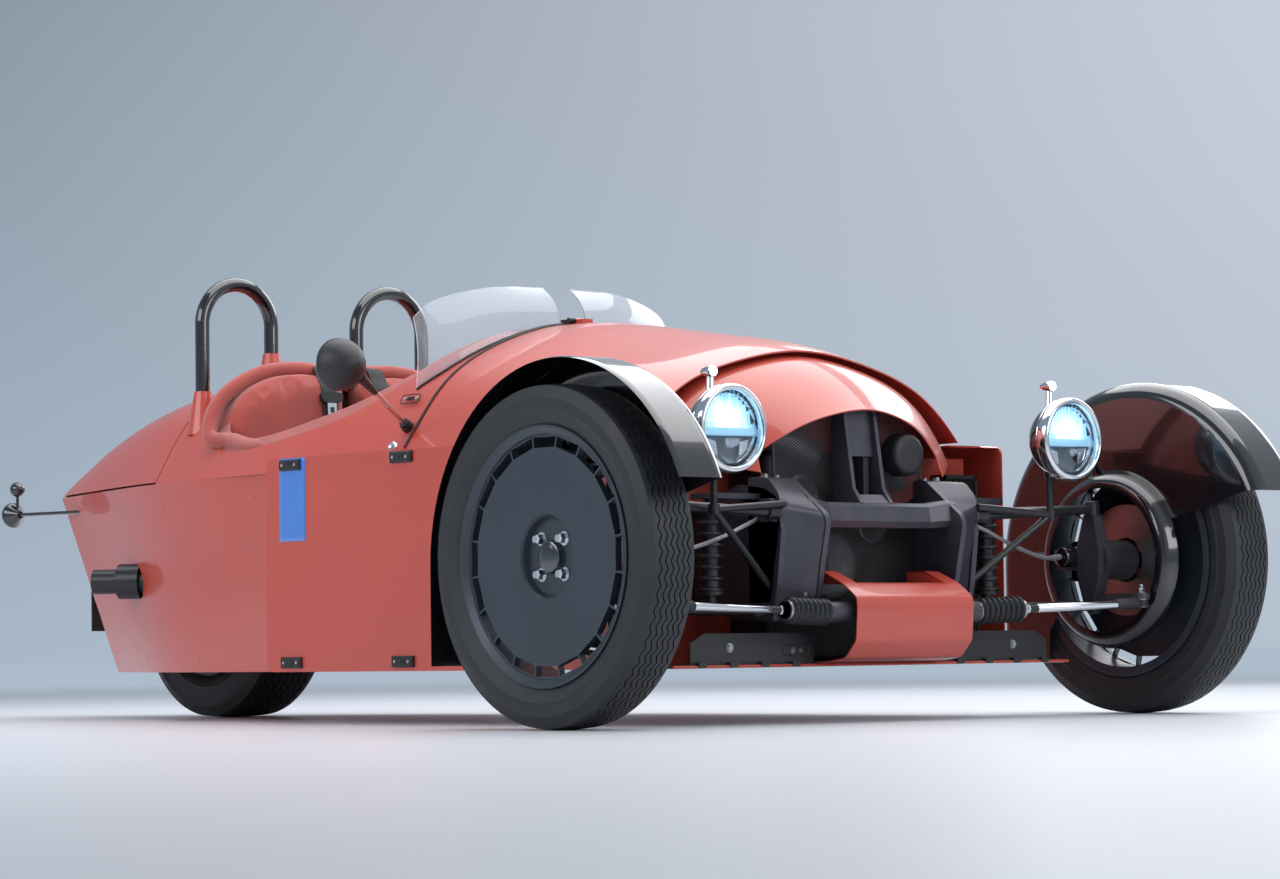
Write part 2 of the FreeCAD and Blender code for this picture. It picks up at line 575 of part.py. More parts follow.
def body_shell():
    skin, low, gap = size["skin"], size["crease_up"], size["panel_gap"]
    outer, inner = upper_solid(0), upper_solid(skin)
    shell = outer.cut(inner).common(box((-4000, -1000, low), (0, 1000, 2000)))
    seam, lid, lip = size["seam_back"], size["lid_back"], size["lip_back"]
    bonnet = between(shell, lip, seam - gap, size["bonnet_foot"])
    fixed_front, leaf = hinge(-seam + 8, size["seam_crown"] + 9, 1, outer)
    bonnet = bonnet.fuse(leaf).removeSplitter()
    node(formed("bonnet", bonnet), "bonnet")
    fixed = between(shell, seam, lid - gap).cut(cockpit_prism())
    node(formed("upper_body", fixed), "upper_body")
    lid_shell = between(shell, lid, size["tail_end"] + 100, low + gap)
    fixed_back, leaf = hinge(-lid - 3, surface_up(outer, -lid, 0) + 8, -1, outer)
    lid_shell = lid_shell.fuse(leaf).removeSplitter()
    node(formed("panel_hinges", Part.makeCompound([fixed_front, fixed_back])), "panel_hinges")
    node(formed("tail_lid", lid_shell), "tail_lid")
    trim_shell = upper_solid(skin + size["seat_gap"]).cut(upper_solid(skin + size["trim_depth"]))
    trim = trim_shell.common(cockpit_prism(-size["trim_width"]).cut(cockpit_prism(size["trim_width"])))
    trim = trim.common(box((-4000, -1000, low + 5), (0, 1000, 2000)))
    node(formed("cockpit_trim", trim), "cockpit_trim")
    return outer


def tub():
    """Lower body: floor with its wheel well, and a side panel each way with the exhaust's hole."""
    skin, floor_top = size["skin"], size["ground_gap"] + size["skin"]
    shell = lower_solid(0).cut(lower_solid(skin, skin, 60))
    shell = shell.cut([wheel_well(), box((-300, -188, floor_top), (-200, 188, 700))])
    node(formed("tub_floor", shell.common(box((-4000, -1000, 0), (0, 1000, floor_top)))), "tub_floor")
    way = Vector(-0.79, -0.61, 0).normalize()
    hole = Part.makeCylinder(46, 260, Vector(-2450, -440, 358) - way * 200, way)
    shell = shell.cut(hole)
    for label, low_y, high_y in (("tub_left", 0, 1000), ("tub_right", -1000, 0)):
        side = shell.common(box((-4000, low_y, floor_top), (0, high_y, 1000)))
        node(formed(label, side), label)


def check_and_write():
    """Stop on any failed object, then write one file for each piece."""
    doc.recompute()
    for thing in doc.Objects:
        if "Invalid" in thing.State or "Error" in thing.State:
            raise RuntimeError(f"{thing.Label} failed: {thing.State}")
    os.makedirs("parts", exist_ok=True)
    for label, thing in nodes.items():
        if thing.Shape.isNull() or not thing.Shape.isValid() or not thing.Shape.Solids:
            raise RuntimeError(f"{label} has no valid solid")
        thing.Shape.exportStep(f"parts/{label}.step")
    print(len(nodes), "pieces written")


def surface_up(outer, along, across):
    """Height of the body's outer surface above one point of the plan."""
    line = Part.makeLine(Vector(along, across, 500), Vector(along, across, 1200))
    return line.common(outer).BoundBox.ZMax


def side_blades():
    """Flat side panel with rounded corners and flanges turned in to the lower body."""
    body = doc.addObject("PartDesign::Body", "blade_form")
    front, back = "-Sizes.blade_front", "-Sizes.blade_back"
    low, high = "Sizes.ground_gap", "Sizes.blade_top"
    sketch = outline(body, "blade_outline", "XZ_Plane",
                     [(back, low), (front, low), (front, high), (back, high)], "-Sizes.blade_half_width")
    pad = body.newObject("PartDesign::Pad", "blade_block")
    pad.Profile = sketch
    pad.setExpression("Length", "Sizes.blade_half_width - Sizes.side_half_width - Sizes.seat_gap")
    rounded = rounded_edges(body, "blade_corners", pad,
                            lambda edge: abs(edge.BoundBox.XLength) < 0.1 and abs(edge.BoundBox.ZLength) < 0.1,
                            "Sizes.blade_corner")
    body.Tip = rounded
    doc.recompute()
    block = body.Shape
    skin = size["blade_skin"]
    inner = block.BoundBox.YMin
    hollow = box((block.BoundBox.XMin + skin, inner - 1, block.BoundBox.ZMin + skin),
                 (block.BoundBox.XMax + 1, block.BoundBox.YMax - skin, block.BoundBox.ZMax - skin))
    left = block.cut(hollow)
    top = size["blade_top"]
    half, wide = size["side_half_width"], size["blade_half_width"]
    points = [Vector(-size["blade_front"] - 20, 452, top - skin), Vector(-size["blade_front"] - 20, half + 2, top - skin),
              Vector(-520, half + 2, top - skin)]
    duct = Part.Face(Part.makePolygon(points + points[:1])).extrude(Vector(0, 0, skin))
    feet = [box((back, inner, 556), (back + 60, wide - skin, 596)) for back in (-1300, -420)]
    left = left.fuse([duct] + feet).removeSplitter()
    node(formed("side_blade_left", left), "side_blade_left")
    node(formed("side_blade_right", mirror_shape(left)), "side_blade_right")


def nose_solid(inset):
    """Solid below the nose panel's surface, drawn in by the inset."""
    top, half, low = size["nose_top"], size["nose_half_width"], size["nose_tip_up"]
    lip, lip_half = size["lip_crown"] - 16, 442
    stations = [(-30, top - 24, half - 8, low), (20, top + 6, half + 16, low),
                (70, top + 42, half + 70, low + 8), (130, top + 82, half + 140, low + 22),
                (size["lip_back"], lip, lip_half, low + 50),
                (size["lip_back"] + 60, lip + 10, lip_half + 4, low + 55)]
    wires = []
    for back, crown, wide, foot in stations:
        points = arch_station(back, crown - inset, wide - inset, foot, (0.88, 0.62, 0.24))
        wires.append(section_wire(points, foot - 40))
    return Part.makeLoft(wires, True, False)


def nose():
    """Rounded nose panel that runs back under the bonnet lip, with its slanted mouth."""
    skin, top, low = size["nose_skin"], size["nose_top"], size["nose_tip_up"]
    shell = nose_solid(0).cut(nose_solid(skin))
    mouth = plate_xz([(15, top + 60), (15, top), (-58, 588), (-43, low), (200, low - 60), (200, top + 60)],
                     -600, 600)
    rest = size["crease_up"] + 1
    floor_cut = plate_xz([(-400, rest), (-size["lip_back"] - 20, rest), (-43, low), (200, low),
                          (200, 0), (-400, 0)], -700, 700)
    node(formed("nose_cowl", shell.cut([mouth, floor_cut])), "nose_cowl")


def grille():
    """Pierced mesh that closes the mouth and the opening below the beam."""
    back, half = -60 - size["seat_gap"], size["nose_half_width"] - 14
    inside = nose_solid(size["nose_skin"] + size["seat_gap"]).fuse(box((-200, -half, 0), (100, half, 560)))
    panel = box((back - 3, -half, 250 + size["seat_gap"]), (back, half, size["nose_top"] + 100)).common(inside)
    pitch, web = 22, 5
    holes = []
    up = 262
    while up + pitch < size["nose_top"] - 90:
        across = -half + 8
        while across + pitch < half - 8:
            holes.append(box((back - 5, across, up), (back + 5, across + pitch - web, up + pitch - web)))
            across += pitch
        up += pitch
    node(formed("grille_mesh", panel.cut(holes)), "grille_mesh")


def front_frame():
    """Cast front bulkhead: cross beam, two side plates, lower member and pierced centre strut."""
    top, height, half = size["beam_top"], size["beam_height"], size["beam_half"]
    ahead, plate = size["beam_forward"], size["frame_plate"]
    beam_wires = []
    for across, forward, high, tall in ((-half + 20, 40, top + 6, 50), (-200, ahead, top + 8, 60), (-150, ahead - 14, top, height),
                                        (150, ahead - 14, top, height), (200, ahead, top + 8, 60), (half - 20, 40, top + 6, 50)):
        beam_wires.append(Part.makePolygon([Vector(forward - 52, across, high - tall), Vector(forward - 10, across, high - tall),
                                            Vector(forward, across, high - tall + 14), Vector(forward - 6, across, high - 8),
                                            Vector(forward - 18, across, high), Vector(forward - 52, across, high),
                                            Vector(forward - 52, across, high - tall)]))
    beam = Part.makeLoft(beam_wires, True, True)
    back = -size["tub_front"] + size["seat_gap"]
    ear = plate_xz([(-150, 500), (back, 470), (back, 250), (-150, 236), (-70, 222), (14, 222), (30, 300), (46, 420), (30, 490), (-10, 510),
                    (-90, 520)], half - 33 - plate, half - 33)
    boss = rod(Vector(34, half - 40, size["pivot_up"]), Vector(34, half, size["pivot_up"]), 15)
    low_boss = rod(Vector(-20, half - 40, size["lower_pivot_up"] + 10), Vector(-20, half, size["lower_pivot_up"] + 10), 14)
    tower = box((-84, half - 34, 486), (-20, 446, 498))
    strut = box((-60, -34, top - 20), (-30, 34, size["nose_top"] + 60)).cut(
        box((-70, -18, top + 8), (-20, 18, size["nose_top"] - 70)))
    seat = size["nose_skin"] + size["seat_gap"]
    strut = strut.common(nose_solid(seat).fuse(box((-100, -50, 0), (0, 50, 600))))
    link = box((-60, -34, top - 30), (10, 34, top - 10))
    lower = box((-80, -half + 40, 222), (-40, half - 40, 250))
    frame = beam.fuse([ear, mirror_shape(ear), boss, mirror_shape(boss), low_boss, mirror_shape(low_boss),
                       tower, mirror_shape(tower), strut, link, lower])
    arm = box((-60, 188, 230), (size["rack_forward"], 206, 246))
    rack_room = Part.makeCylinder(size["rack_housing_radius"] + size["seat_gap"], 700,
                                  Vector(size["rack_forward"], -350, size["rack_up"]), Vector(0, 1, 0))
    frame = frame.fuse([arm, mirror_shape(arm)]).cut(rack_room).removeSplitter()
    node(formed("front_frame", frame), "front_frame")
    return frame


def rack_cover():
    """Body coloured cover round the steering rack, open at both ends."""
    half, skin = 176, size["skin"]
    low = size["ground_gap"] + size["tray_thickness"] + size["seat_gap"]
    high, back = 326, -18

    def section(inset):
        return [(back, high - inset), (60, high - 8 - inset), (138 - inset, 268 - inset * 0.4),
                (150 - inset, 240), (112 - inset * 0.6, 150 + inset), (40, low + inset), (back, low + inset)]

    outer = plate_xz(section(0), -half, half)
    edges = [edge for edge in outer.Edges if edge.BoundBox.YLength > 10 and edge.BoundBox.XMin > -10]
    outer = outer.makeFillet(16, edges)
    open_back = box((back - 10, -half - 1, low + skin), (back + 10, half + 1, high - skin))
    inner = plate_xz(section(skin), -half - 1, half + 1).fuse(open_back)
    node(formed("rack_cover", outer.cut(inner)), "rack_cover")


def floor_and_engine():
    front = size["tub_front"]
    gap = size["ground_gap"]
    tray = box((-front + size["seat_gap"], -545, gap), (26, 545, gap + size["tray_thickness"]))
    node(formed("undertray", tray), "undertray")
    engine = box((-560, -180, gap + size["tray_thickness"] + size["seat_gap"]), (-130, 180, 600))
    engine = engine.makeFillet(18, engine.Edges)
    node(formed("engine", engine), "engine")


def wishbones():
    """Upper and lower suspension arms of round tube, each ending in a ball boss."""
    half, pin_y = size["pivot_half"], size["kingpin_half_track"]
    tube, boss_r, boss = size["tube_radius"], size["ball_boss_radius"], size["ball_boss_height"]
    gap = size["seat_gap"]
    bore = size["kingpin_radius"] + size["kingpin_gap"]
    for label, up, boss_low, inner_up in (("upper_wishbones", size["upright_top"], size["upright_top"] + gap, size["pivot_up"]),
                                          ("lower_wishbones", size["upright_foot"], size["upright_foot"] - gap - boss, size["lower_pivot_up"] + 10)):
        outer_point = Vector(0, pin_y, boss_low + boss / 2)
        hub = Part.makeCylinder(boss_r, boss, Vector(0, pin_y, boss_low))
        front_pivot = Vector(34 if label[0] == "u" else -20, half + gap, inner_up)
        back_pivot = Vector(-190, half + gap, inner_up + 6)
        arm = hub.fuse([rod(front_pivot, outer_point, tube), rod(back_pivot, outer_point, tube),
                        Part.makeCylinder(14, 33, back_pivot - Vector(0, 33, 0), Vector(0, 1, 0))])
        if label == "lower_wishbones":
            arm = arm.fuse(box((-150, 398, 243), (-8, 442, 256)))
        arm = arm.cut(Part.makeCylinder(bore, boss + 2, Vector(0, pin_y, boss_low - 1)))
        arm = arm.cut(box((-60, half - 60, inner_up - 60), (80, half + gap, inner_up + 60)))
        node(formed(label, Part.makeCompound([arm, mirror_shape(arm)])), label)


def dampers():
    """Coil over damper on each side: body, rod and a coil of round wire."""
    foot, head = Vector(-52, 420, 256 + size["seat_gap"]), Vector(-52, 414, 486)
    head.y = foot.y
    way = (head - foot).normalize()
    core = rod(foot, head, 14, 0, size["seat_gap"])
    length = (head - foot).Length
    turns, coil_radius, wire = 8, 24, 4.5
    rings = [Part.makeTorus(coil_radius, wire, foot + way * (34 + turn * (length - 62) / (turns - 1)), way)
             for turn in range(turns)]
    seats = [Part.makeCylinder(29, 8, foot + way * 22, way), Part.makeCylinder(29, 8, foot + way * (length - 24), way)]
    core = core.fuse(seats)
    web = Part.makeCylinder(coil_radius - 3, length - 62, foot + way * 30, way)
    core = core.fuse(web).fuse(rings)
    node(formed("dampers", Part.makeCompound([core, mirror_shape(core)])), "dampers")


def headlamps():
    """Round lamps: deep bowl with its bezel, a domed lens, and a small indicator on top."""
    x, y, z, radius, depth = (size[name] for name in ("lamp_forward", "lamp_half", "lamp_up", "lamp_radius", "lamp_depth"))
    profile = Part.BSplineCurve()
    back = [Vector(-depth, 0, 0), Vector(-depth + 10, 0, 34), Vector(-depth * 0.55, 0, radius * 0.80), Vector(-22, 0, radius - 5)]
    profile.interpolate(back)
    wire = Part.Wire([profile.toShape(), Part.makeLine(back[-1], Vector(-16, 0, radius)),
                      Part.makeLine(Vector(-16, 0, radius), Vector(0, 0, radius)),
                      Part.makeLine(Vector(0, 0, radius), Vector(6, 0, radius - 6)),
                      Part.makeLine(Vector(6, 0, radius - 6), Vector(0, 0, radius - 13)),
                      Part.makeLine(Vector(0, 0, radius - 13), Vector(-8, 0, radius - 13)),
                      Part.makeLine(Vector(-8, 0, radius - 13), Vector(-8, 0, 0)),
                      Part.makeLine(Vector(-8, 0, 0), back[0])])
    bowl = Part.Face(wire).revolve(Vector(), Vector(1, 0, 0), 360)
    mid_post = size["post_forward"] - x
    nub = Part.makeCylinder(9, 16, Vector(mid_post, 0, radius * 0.78))
    light = Part.makeCylinder(13, 26, Vector(mid_post - 12, 0, radius * 0.78 + 20), Vector(1, 0, 0))
    bowl = bowl.fuse([nub, light])
    bowl.translate(Vector(x, y, z))
    node(formed("headlamps", Part.makeCompound([bowl, mirror_shape(bowl)])), "headlamps")
    dome = Part.makeSphere(230, Vector(-230 + 4, 0, 0)).common(
        Part.makeCylinder(radius - 13 - size["seat_gap"], 60, Vector(-8 + size["seat_gap"], 0, 0), Vector(1, 0, 0)))
    dome.translate(Vector(x, y, z))
    node(formed("headlamp_lenses", Part.makeCompound([dome, mirror_shape(dome)])), "headlamp_lenses")
    return bowl


def lamp_brackets(bowl):
    """Posts that hold the lamps, braced to the cast frame by three tubes."""
    x, y = size["post_forward"], size["lamp_half"] - 5
    half, pivot_up = size["beam_half"], size["pivot_up"]
    top = Vector(x, y, size["lamp_up"] - 40)
    foot = Vector(x, y, pivot_up + 2)
    post = rod(foot, top, 8)
    near = Vector(50, half - 40, size["beam_top"] - 6)
    low = Vector(0, half - 40, size["lower_pivot_up"] + 60)
    bracket = post.fuse([rod(near, foot, 8), rod(low, foot, 8), Part.makeCylinder(13, 22, foot - Vector(0, 0, 11))])
    return bracket.cut(bowl)


def mirrors(outer):
    """Door mirrors on slim stalks from the scuttle side."""
    head = Vector(-size["mirror_back"], size["mirror_half"], size["mirror_up"])
    radius = size["mirror_radius"]
    profile = Part.BSplineCurve()
    points = [Vector(66, 0, 0), Vector(60, 0, 20), Vector(30, 0, radius * 0.86), Vector(0, 0, radius)]
    profile.interpolate(points)
    wire = Part.Wire([profile.toShape(), Part.makeLine(points[-1], Vector(-8, 0, radius)),
                      Part.makeLine(Vector(-8, 0, radius), Vector(-8, 0, radius - 5)),
                      Part.makeLine(Vector(-8, 0, radius - 5), Vector(-4, 0, 0)), Part.makeLine(Vector(-4, 0, 0), points[0])])
    bowl = Part.Face(wire).revolve(Vector(), Vector(1, 0, 0), 360)
    bowl.translate(head)
    foot = Vector(-1030, 486, surface_up(outer, -1030, 486))
    stalk = rod(foot, head + Vector(20, -20, -10), 5)
    slope = Vector(0, 0.86, 0.5)
    pad = Part.makeCylinder(15, 40, foot - slope * 28, slope)
    mirror = largest(bowl.fuse([stalk, pad]).cut(outer))
    node(formed("mirrors", Part.makeCompound([mirror, mirror_shape(mirror)])), "mirrors")


def flyscreens(outer):
    """Two curved clear screens, raked back from the scuttle."""
    plan = [(-1010, 40), (-1020, 200), (-1046, 345), (-1100, 408)]
    heights = [1029, 1018, 990, 940]
    lean = [(-62, 6), (-66, 0), (-86, -16), (-50, -18)]
    base, top = [], []
    for (x, y), high, (dx, dy) in zip(plan, heights, lean):
        base.append(Vector(x, y, surface_up(outer, x, y) - 2))
        top.append(Vector(x + dx, y + dy, high))
    low_curve, high_curve = Part.BSplineCurve(), Part.BSplineCurve()
    low_curve.interpolate(base)
    high_curve.interpolate(top)
    sheet_face = Part.makeRuledSurface(low_curve.toShape(), high_curve.toShape())
    screen = sheet_face.extrude(Vector(-size["screen_thickness"], 0, 0.5))
    screen = screen.cut(outer)
    node(formed("flyscreens", Part.makeCompound([screen, mirror_shape(screen)])), "flyscreens")


def roll_hoops(outer):
    """Inverted U hoops behind the seats, each leg in a cone shaped boot."""
    back, centre, half = -size["hoop_back"], size["hoop_centre"], size["hoop_half"]
    radius, top = size["hoop_tube"], size["hoop_top"]
    bend = half
    shoulder = top - radius - bend
    hoop = Part.makeTorus(bend, radius, Vector(back, centre, shoulder), Vector(1, 0, 0)).common(
        box((back - 100, centre - 400, shoulder), (back + 100, centre + 400, top + 10)))
    boots = []
    for side in (-1, 1):
        across = centre + side * half
        deck = surface_up(outer, back, across)
        start = deck + size["boot_height"]
        hoop = hoop.fuse(Part.makeCylinder(radius, shoulder - start, Vector(back, across, start)))
        cone = Part.makeCone(radius + 22, radius + 3, size["boot_height"] + 40, Vector(back, across, deck - 40))
        boots.append(cone.cut(outer).Solids[0])
    node(formed("roll_hoops", Part.makeCompound([hoop, mirror_shape(hoop)])), "roll_hoops")
    node(formed("hoop_boots", Part.makeCompound(boots + [mirror_shape(boot) for boot in boots])), "hoop_boots")


def cabin(outer):
    """Dashboard, wheel, column, seats and belts."""
    inner = upper_solid(size["skin"] + size["trim_depth"] + size["seat_gap"])
    front = -size["cockpit_front"]
    dash = box((front - 22, -430, 640), (front + 8, 430, 1000)).common(inner)
    node(formed("dashboard", dash), "dashboard")
    y, z = size["driver_half"], 780
    axis = Vector(-0.92, 0, 0.38).normalize()
    centre = Vector(-1390, y, z)
    grip = Part.makeTorus(size["steering_wheel_radius"], size["rim_grip"], centre, axis)
    hub = Part.makeCylinder(34, 24, centre - axis * 26, axis)
    spokes = [rod(centre - axis * 14, centre + Rotation(axis, turn).multVec(Vector(0, 1, 0)) * size["steering_wheel_radius"], 6)
              for turn in (0, 90, 180)]
    node(formed("steering_wheel", grip.fuse([hub] + spokes)), "steering_wheel")
    start = centre - axis * 27
    column = rod(Vector(-1120, y, z - 0.413 * 240 - 11), start, 18).cut(dash)
    column = sorted(column.Solids, key=lambda solid: -solid.CenterOfMass.z)[0]
    node(formed("steering_column", column), "steering_column")
    floor = size["ground_gap"] + size["skin"] + size["seat_gap"]
    base = box((-1860, -430, floor), (-1420, 430, 300))
    base = base.makeFillet(30, [edge for edge in base.Edges if edge.BoundBox.ZMin > floor + 1])
    node(formed("seat_base", base), "seat_base")
    backs = []
    for side in (-1, 1):
        mid = side * 216
        rest = plate_xz([(-1862, floor), (-1870, 500), (-1905, 800), (-1950, 858), (-1985, 850), (-1985, 500), (-1985, floor)],
                        mid - 206, mid + 206)
        backs.append(rest)
    inner_cabin = lower_solid(size["skin"] + 6, size["skin"] + 1, 60).fuse(upper_solid(size["skin"] + size["trim_depth"] + 3))
    backs = [rest.common(inner_cabin) for rest in backs]
    node(formed("seat_back", Part.makeCompound(backs)), "seat_back")


def rear_end():
    """Swing arm, belt, exhaust, tail lamps and plate holder."""
    back, radius = -size["wheelbase"], size["rear_tyre_radius"]
    arm_half = size["rear_tyre_width"] / 2 + 26
    pivot = Vector(-2036, 0, 300)
    tube = Part.makeCylinder(24, 1200, Vector(pivot.x, -600, pivot.z), Vector(0, 1, 0)).common(
        lower_solid(size["skin"] + size["seat_gap"]))
    arms = [rod(Vector(pivot.x, side * arm_half, pivot.z), Vector(back, side * arm_half, radius), 17) for side in (-1, 1)]
    axle = Part.makeCylinder(size["axle_radius"], 2 * arm_half, Vector(back, -arm_half, radius), Vector(0, 1, 0))
    node(formed("swingarm", tube.fuse(arms + [axle])), "swingarm")
    way = Vector(-0.79, -0.61, 0).normalize()
    mouth = Vector(-2450, -440, 358)
    start = mouth - way * 260
    pipe = Part.makeCylinder(32, 260, start, way).cut(Part.makeCylinder(29, 200, mouth - way * 180, way))
    collar = Part.makeCylinder(46 - size["seat_gap"], 60, mouth - way * 130, way).cut(
        Part.makeCylinder(31, 80, mouth - way * 140, way))
    pipe = pipe.fuse(collar)
    node(formed("exhaust", pipe), "exhaust")
    lamps = []
    tip = size["wing_centre_forward"] + sqrt(size["wing_radius"] ** 2 - (size["wing_front_tip"] - size["wing_centre_up"]) ** 2)
    lamp_x, lamp_y, lamp_z, lamp_r = tip - size["overall_length"], size["tail_lamp_half"], size["tail_lamp_up"], size["tail_lamp_radius"]
    bell = Part.makeCone(lamp_r, 10, 34, Vector(lamp_x + 10, lamp_y, lamp_z), Vector(1, 0, 0))
    face = Part.makeCylinder(lamp_r, 10, Vector(lamp_x, lamp_y, lamp_z), Vector(1, 0, 0))
    stalk = rod(Vector(lamp_x + 40, lamp_y, lamp_z), Vector(-size["tail_end"] + 260, lamp_y - 35, lamp_z), 5)
    post = Part.makeCylinder(4, 60, Vector(lamp_x + 28, lamp_y, lamp_z))
    ball = Part.makeSphere(21, Vector(lamp_x + 28, lamp_y, lamp_z + 70))
    lamp = bell.fuse([face, stalk, post, ball]).cut(lower_solid(0))
    lamp = sorted(lamp.Solids, key=lambda solid: solid.CenterOfMass.x)[0]
    node(formed("tail_lamps", Part.makeCompound([lamp, mirror_shape(lamp)])), "tail_lamps")
    plate_back = -size["tail_end"] + 90
    plate = box((plate_back, -85, 235), (plate_back + 4, 85, 345))
    bracket = box((plate_back + 4, -20, 270), (plate_back + 200, 20, 290)).cut(lower_solid(0))
    bracket = sorted(bracket.Solids, key=lambda solid: solid.CenterOfMass.x)[0]
    node(formed("plate_holder", plate.fuse(bracket)), "plate_holder")


def radiators():
    """Upright radiator on each side, behind the open front of the blade."""
    back = -size["tub_front"] + size["seat_gap"]
    left = box((back, 440, size["ground_gap"] + size["tray_thickness"] + size["seat_gap"]), (back + 40, 545, 560))
    node(formed("radiators", Part.makeCompound([left, mirror_shape(left)])), "radiators")


def ports(outer):
    """Small dark fixing ports on the blades."""
    wide = size["blade_half_width"]
    small = []
    for back in (-1335, -899):
        for up in (611, 144):
            port = box((back - 40, wide, up - 13), (back + 40, wide + 8, up + 13))
            small.append(port.makeFillet(4, [edge for edge in port.Edges if edge.BoundBox.YMin > wide + 7]))
    both = small + [mirror_shape(port) for port in small]
    node(formed("accessory_ports", Part.makeCompound(both)), "accessory_ports")


wheels()
steering()
front_corners()
outer_body = body_shell()
tub()
side_blades()
nose()
grille()
frame_shape = front_frame()
rack_cover()
floor_and_engine()
wishbones()
dampers()
lamp_bowl = headlamps()
bracket = lamp_brackets(lamp_bowl).cut(frame_shape)
node(formed("lamp_brackets", Part.makeCompound([bracket, mirror_shape(bracket)])), "lamp_brackets")
mirrors(outer_body)
flyscreens(outer_body)
roll_hoops(outer_body)
cabin(outer_body)
rear_end()
radiators()
ports(outer_body)
check_and_write()
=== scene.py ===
import math
import bmesh
import bpy
from mathutils import Matrix, Vector
from mathutils.bvhtree import BVHTree

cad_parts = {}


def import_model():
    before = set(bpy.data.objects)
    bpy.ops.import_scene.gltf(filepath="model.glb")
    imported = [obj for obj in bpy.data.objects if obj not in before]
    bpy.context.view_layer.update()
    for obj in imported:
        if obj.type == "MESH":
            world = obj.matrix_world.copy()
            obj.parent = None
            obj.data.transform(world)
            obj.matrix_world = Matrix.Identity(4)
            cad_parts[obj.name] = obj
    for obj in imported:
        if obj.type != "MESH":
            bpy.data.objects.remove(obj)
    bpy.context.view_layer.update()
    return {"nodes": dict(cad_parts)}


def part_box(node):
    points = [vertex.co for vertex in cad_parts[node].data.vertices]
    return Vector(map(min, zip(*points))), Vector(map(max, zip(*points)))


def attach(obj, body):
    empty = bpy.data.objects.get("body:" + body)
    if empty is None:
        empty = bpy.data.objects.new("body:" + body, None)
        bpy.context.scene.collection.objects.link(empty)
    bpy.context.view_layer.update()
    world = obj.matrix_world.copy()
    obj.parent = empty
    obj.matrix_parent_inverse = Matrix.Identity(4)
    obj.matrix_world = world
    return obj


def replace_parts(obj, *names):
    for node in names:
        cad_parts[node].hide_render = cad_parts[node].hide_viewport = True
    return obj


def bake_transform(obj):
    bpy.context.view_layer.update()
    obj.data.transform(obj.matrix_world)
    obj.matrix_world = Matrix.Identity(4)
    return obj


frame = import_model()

# Looks of the open three wheeled car. Lengths are in metres in the frame's own axes:
# +X forward, +Y to the left, +Z up. Places along the car are given from the front axle.

AXLE = (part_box("tyre_front_left")[0].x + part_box("tyre_front_left")[1].x) / 2
RIGHT, LEFT = -1, 1
SIDES = (LEFT, RIGHT)
AHEAD, BACK, UP = Vector((1, 0, 0)), Vector((-1, 0, 0)), Vector((0, 0, 1))


def at(along, across, up):
    """A point given from the front axle, in the frame's axes."""
    return Vector((along + AXLE, across, up))


def side_name(side):
    return "left" if side == LEFT else "right"


# Materials

def new_material(name):
    material = bpy.data.materials.new(name)
    material.use_nodes = True
    return material, material.node_tree


def fill(tree, node, inputs):
    """Set a node's inputs, and link those that are given as another node's output."""
    for name, value in inputs.items():
        if isinstance(value, bpy.types.NodeSocket):
            tree.links.new(value, node.inputs[name])
        else:
            node.inputs[name].default_value = value


def add(tree, kind, output, inputs, **settings):
    """Add a shader node and hand on one of its outputs."""
    node = tree.nodes.new("ShaderNode" + kind)
    for name, value in settings.items():
        setattr(node, name, value)
    fill(tree, node, inputs)
    return node.outputs[output]


def shade(tree, inputs):
    fill(tree, tree.nodes["Principled BSDF"], inputs)


def ramp(tree, source, first, last, *between):
    """Colours that follow a value, each given with its position."""
    node = tree.nodes.new("ShaderNodeValToRGB")
    elements = node.color_ramp.elements
    for element, (position, colour) in zip(elements, (first, last)):
        element.position = position
        element.color = (*colour, 1)
    for position, colour in between:
        elements.new(position).color = (*colour, 1)
    tree.links.new(source, node.inputs["Fac"])
    return node.outputs["Color"]


def finish(name, colour, rough, metallic=0, coat=0, coat_rough=0.03, vary=0.06, vary_scale=6,
           rough_vary=0.06, grain=0, grain_scale=400, sheen=0):
    """Procedural finish: a base colour that wanders a little, uneven roughness and a fine grain."""
    material, tree = new_material(name)
    spot = add(tree, "TexCoord", "Object", {})
    cloud = add(tree, "TexNoise", "Fac", {"Vector": spot, "Scale": vary_scale, "Detail": 5})
    darker = [c * (1 - vary) for c in colour]
    lighter = [min(1, c * (1 + vary)) for c in colour]
    uneven = add(tree, "MapRange", "Result", {"Value": cloud, "To Min": max(0, rough - rough_vary),
                                              "To Max": min(1, rough + rough_vary)})
    shade(tree, {"Base Color": ramp(tree, cloud, (0.3, darker), (0.7, lighter)), "Roughness": uneven,
                 "Metallic": metallic, "Coat Weight": coat, "Coat Roughness": coat_rough,
                 "Sheen Weight": sheen})
    if grain:
        fine = add(tree, "TexNoise", "Fac", {"Vector": spot, "Scale": grain_scale, "Detail": 3})
        shade(tree, {"Normal": add(tree, "Bump", "Normal",
                                   {"Height": fine, "Strength": grain, "Distance": 0.0006})})
    return material


def clear(name, colour, rough=0, ior=1.45, transmission=1):
    """Glass or clear plastic with a faint unevenness."""
    material = finish(name, colour, rough + 0.01, vary=0.01, rough_vary=0.01)
    shade(material.node_tree, {"Transmission Weight": transmission, "IOR": ior})
    return material


def glowing(name, colour, strength):
    """Lit source with a slightly uneven face."""
    material = finish(name, colour, 0.2, vary=0.05, vary_scale=60)
    shade(material.node_tree, {"Emission Color": (*colour, 1), "Emission Strength": strength})
    return material


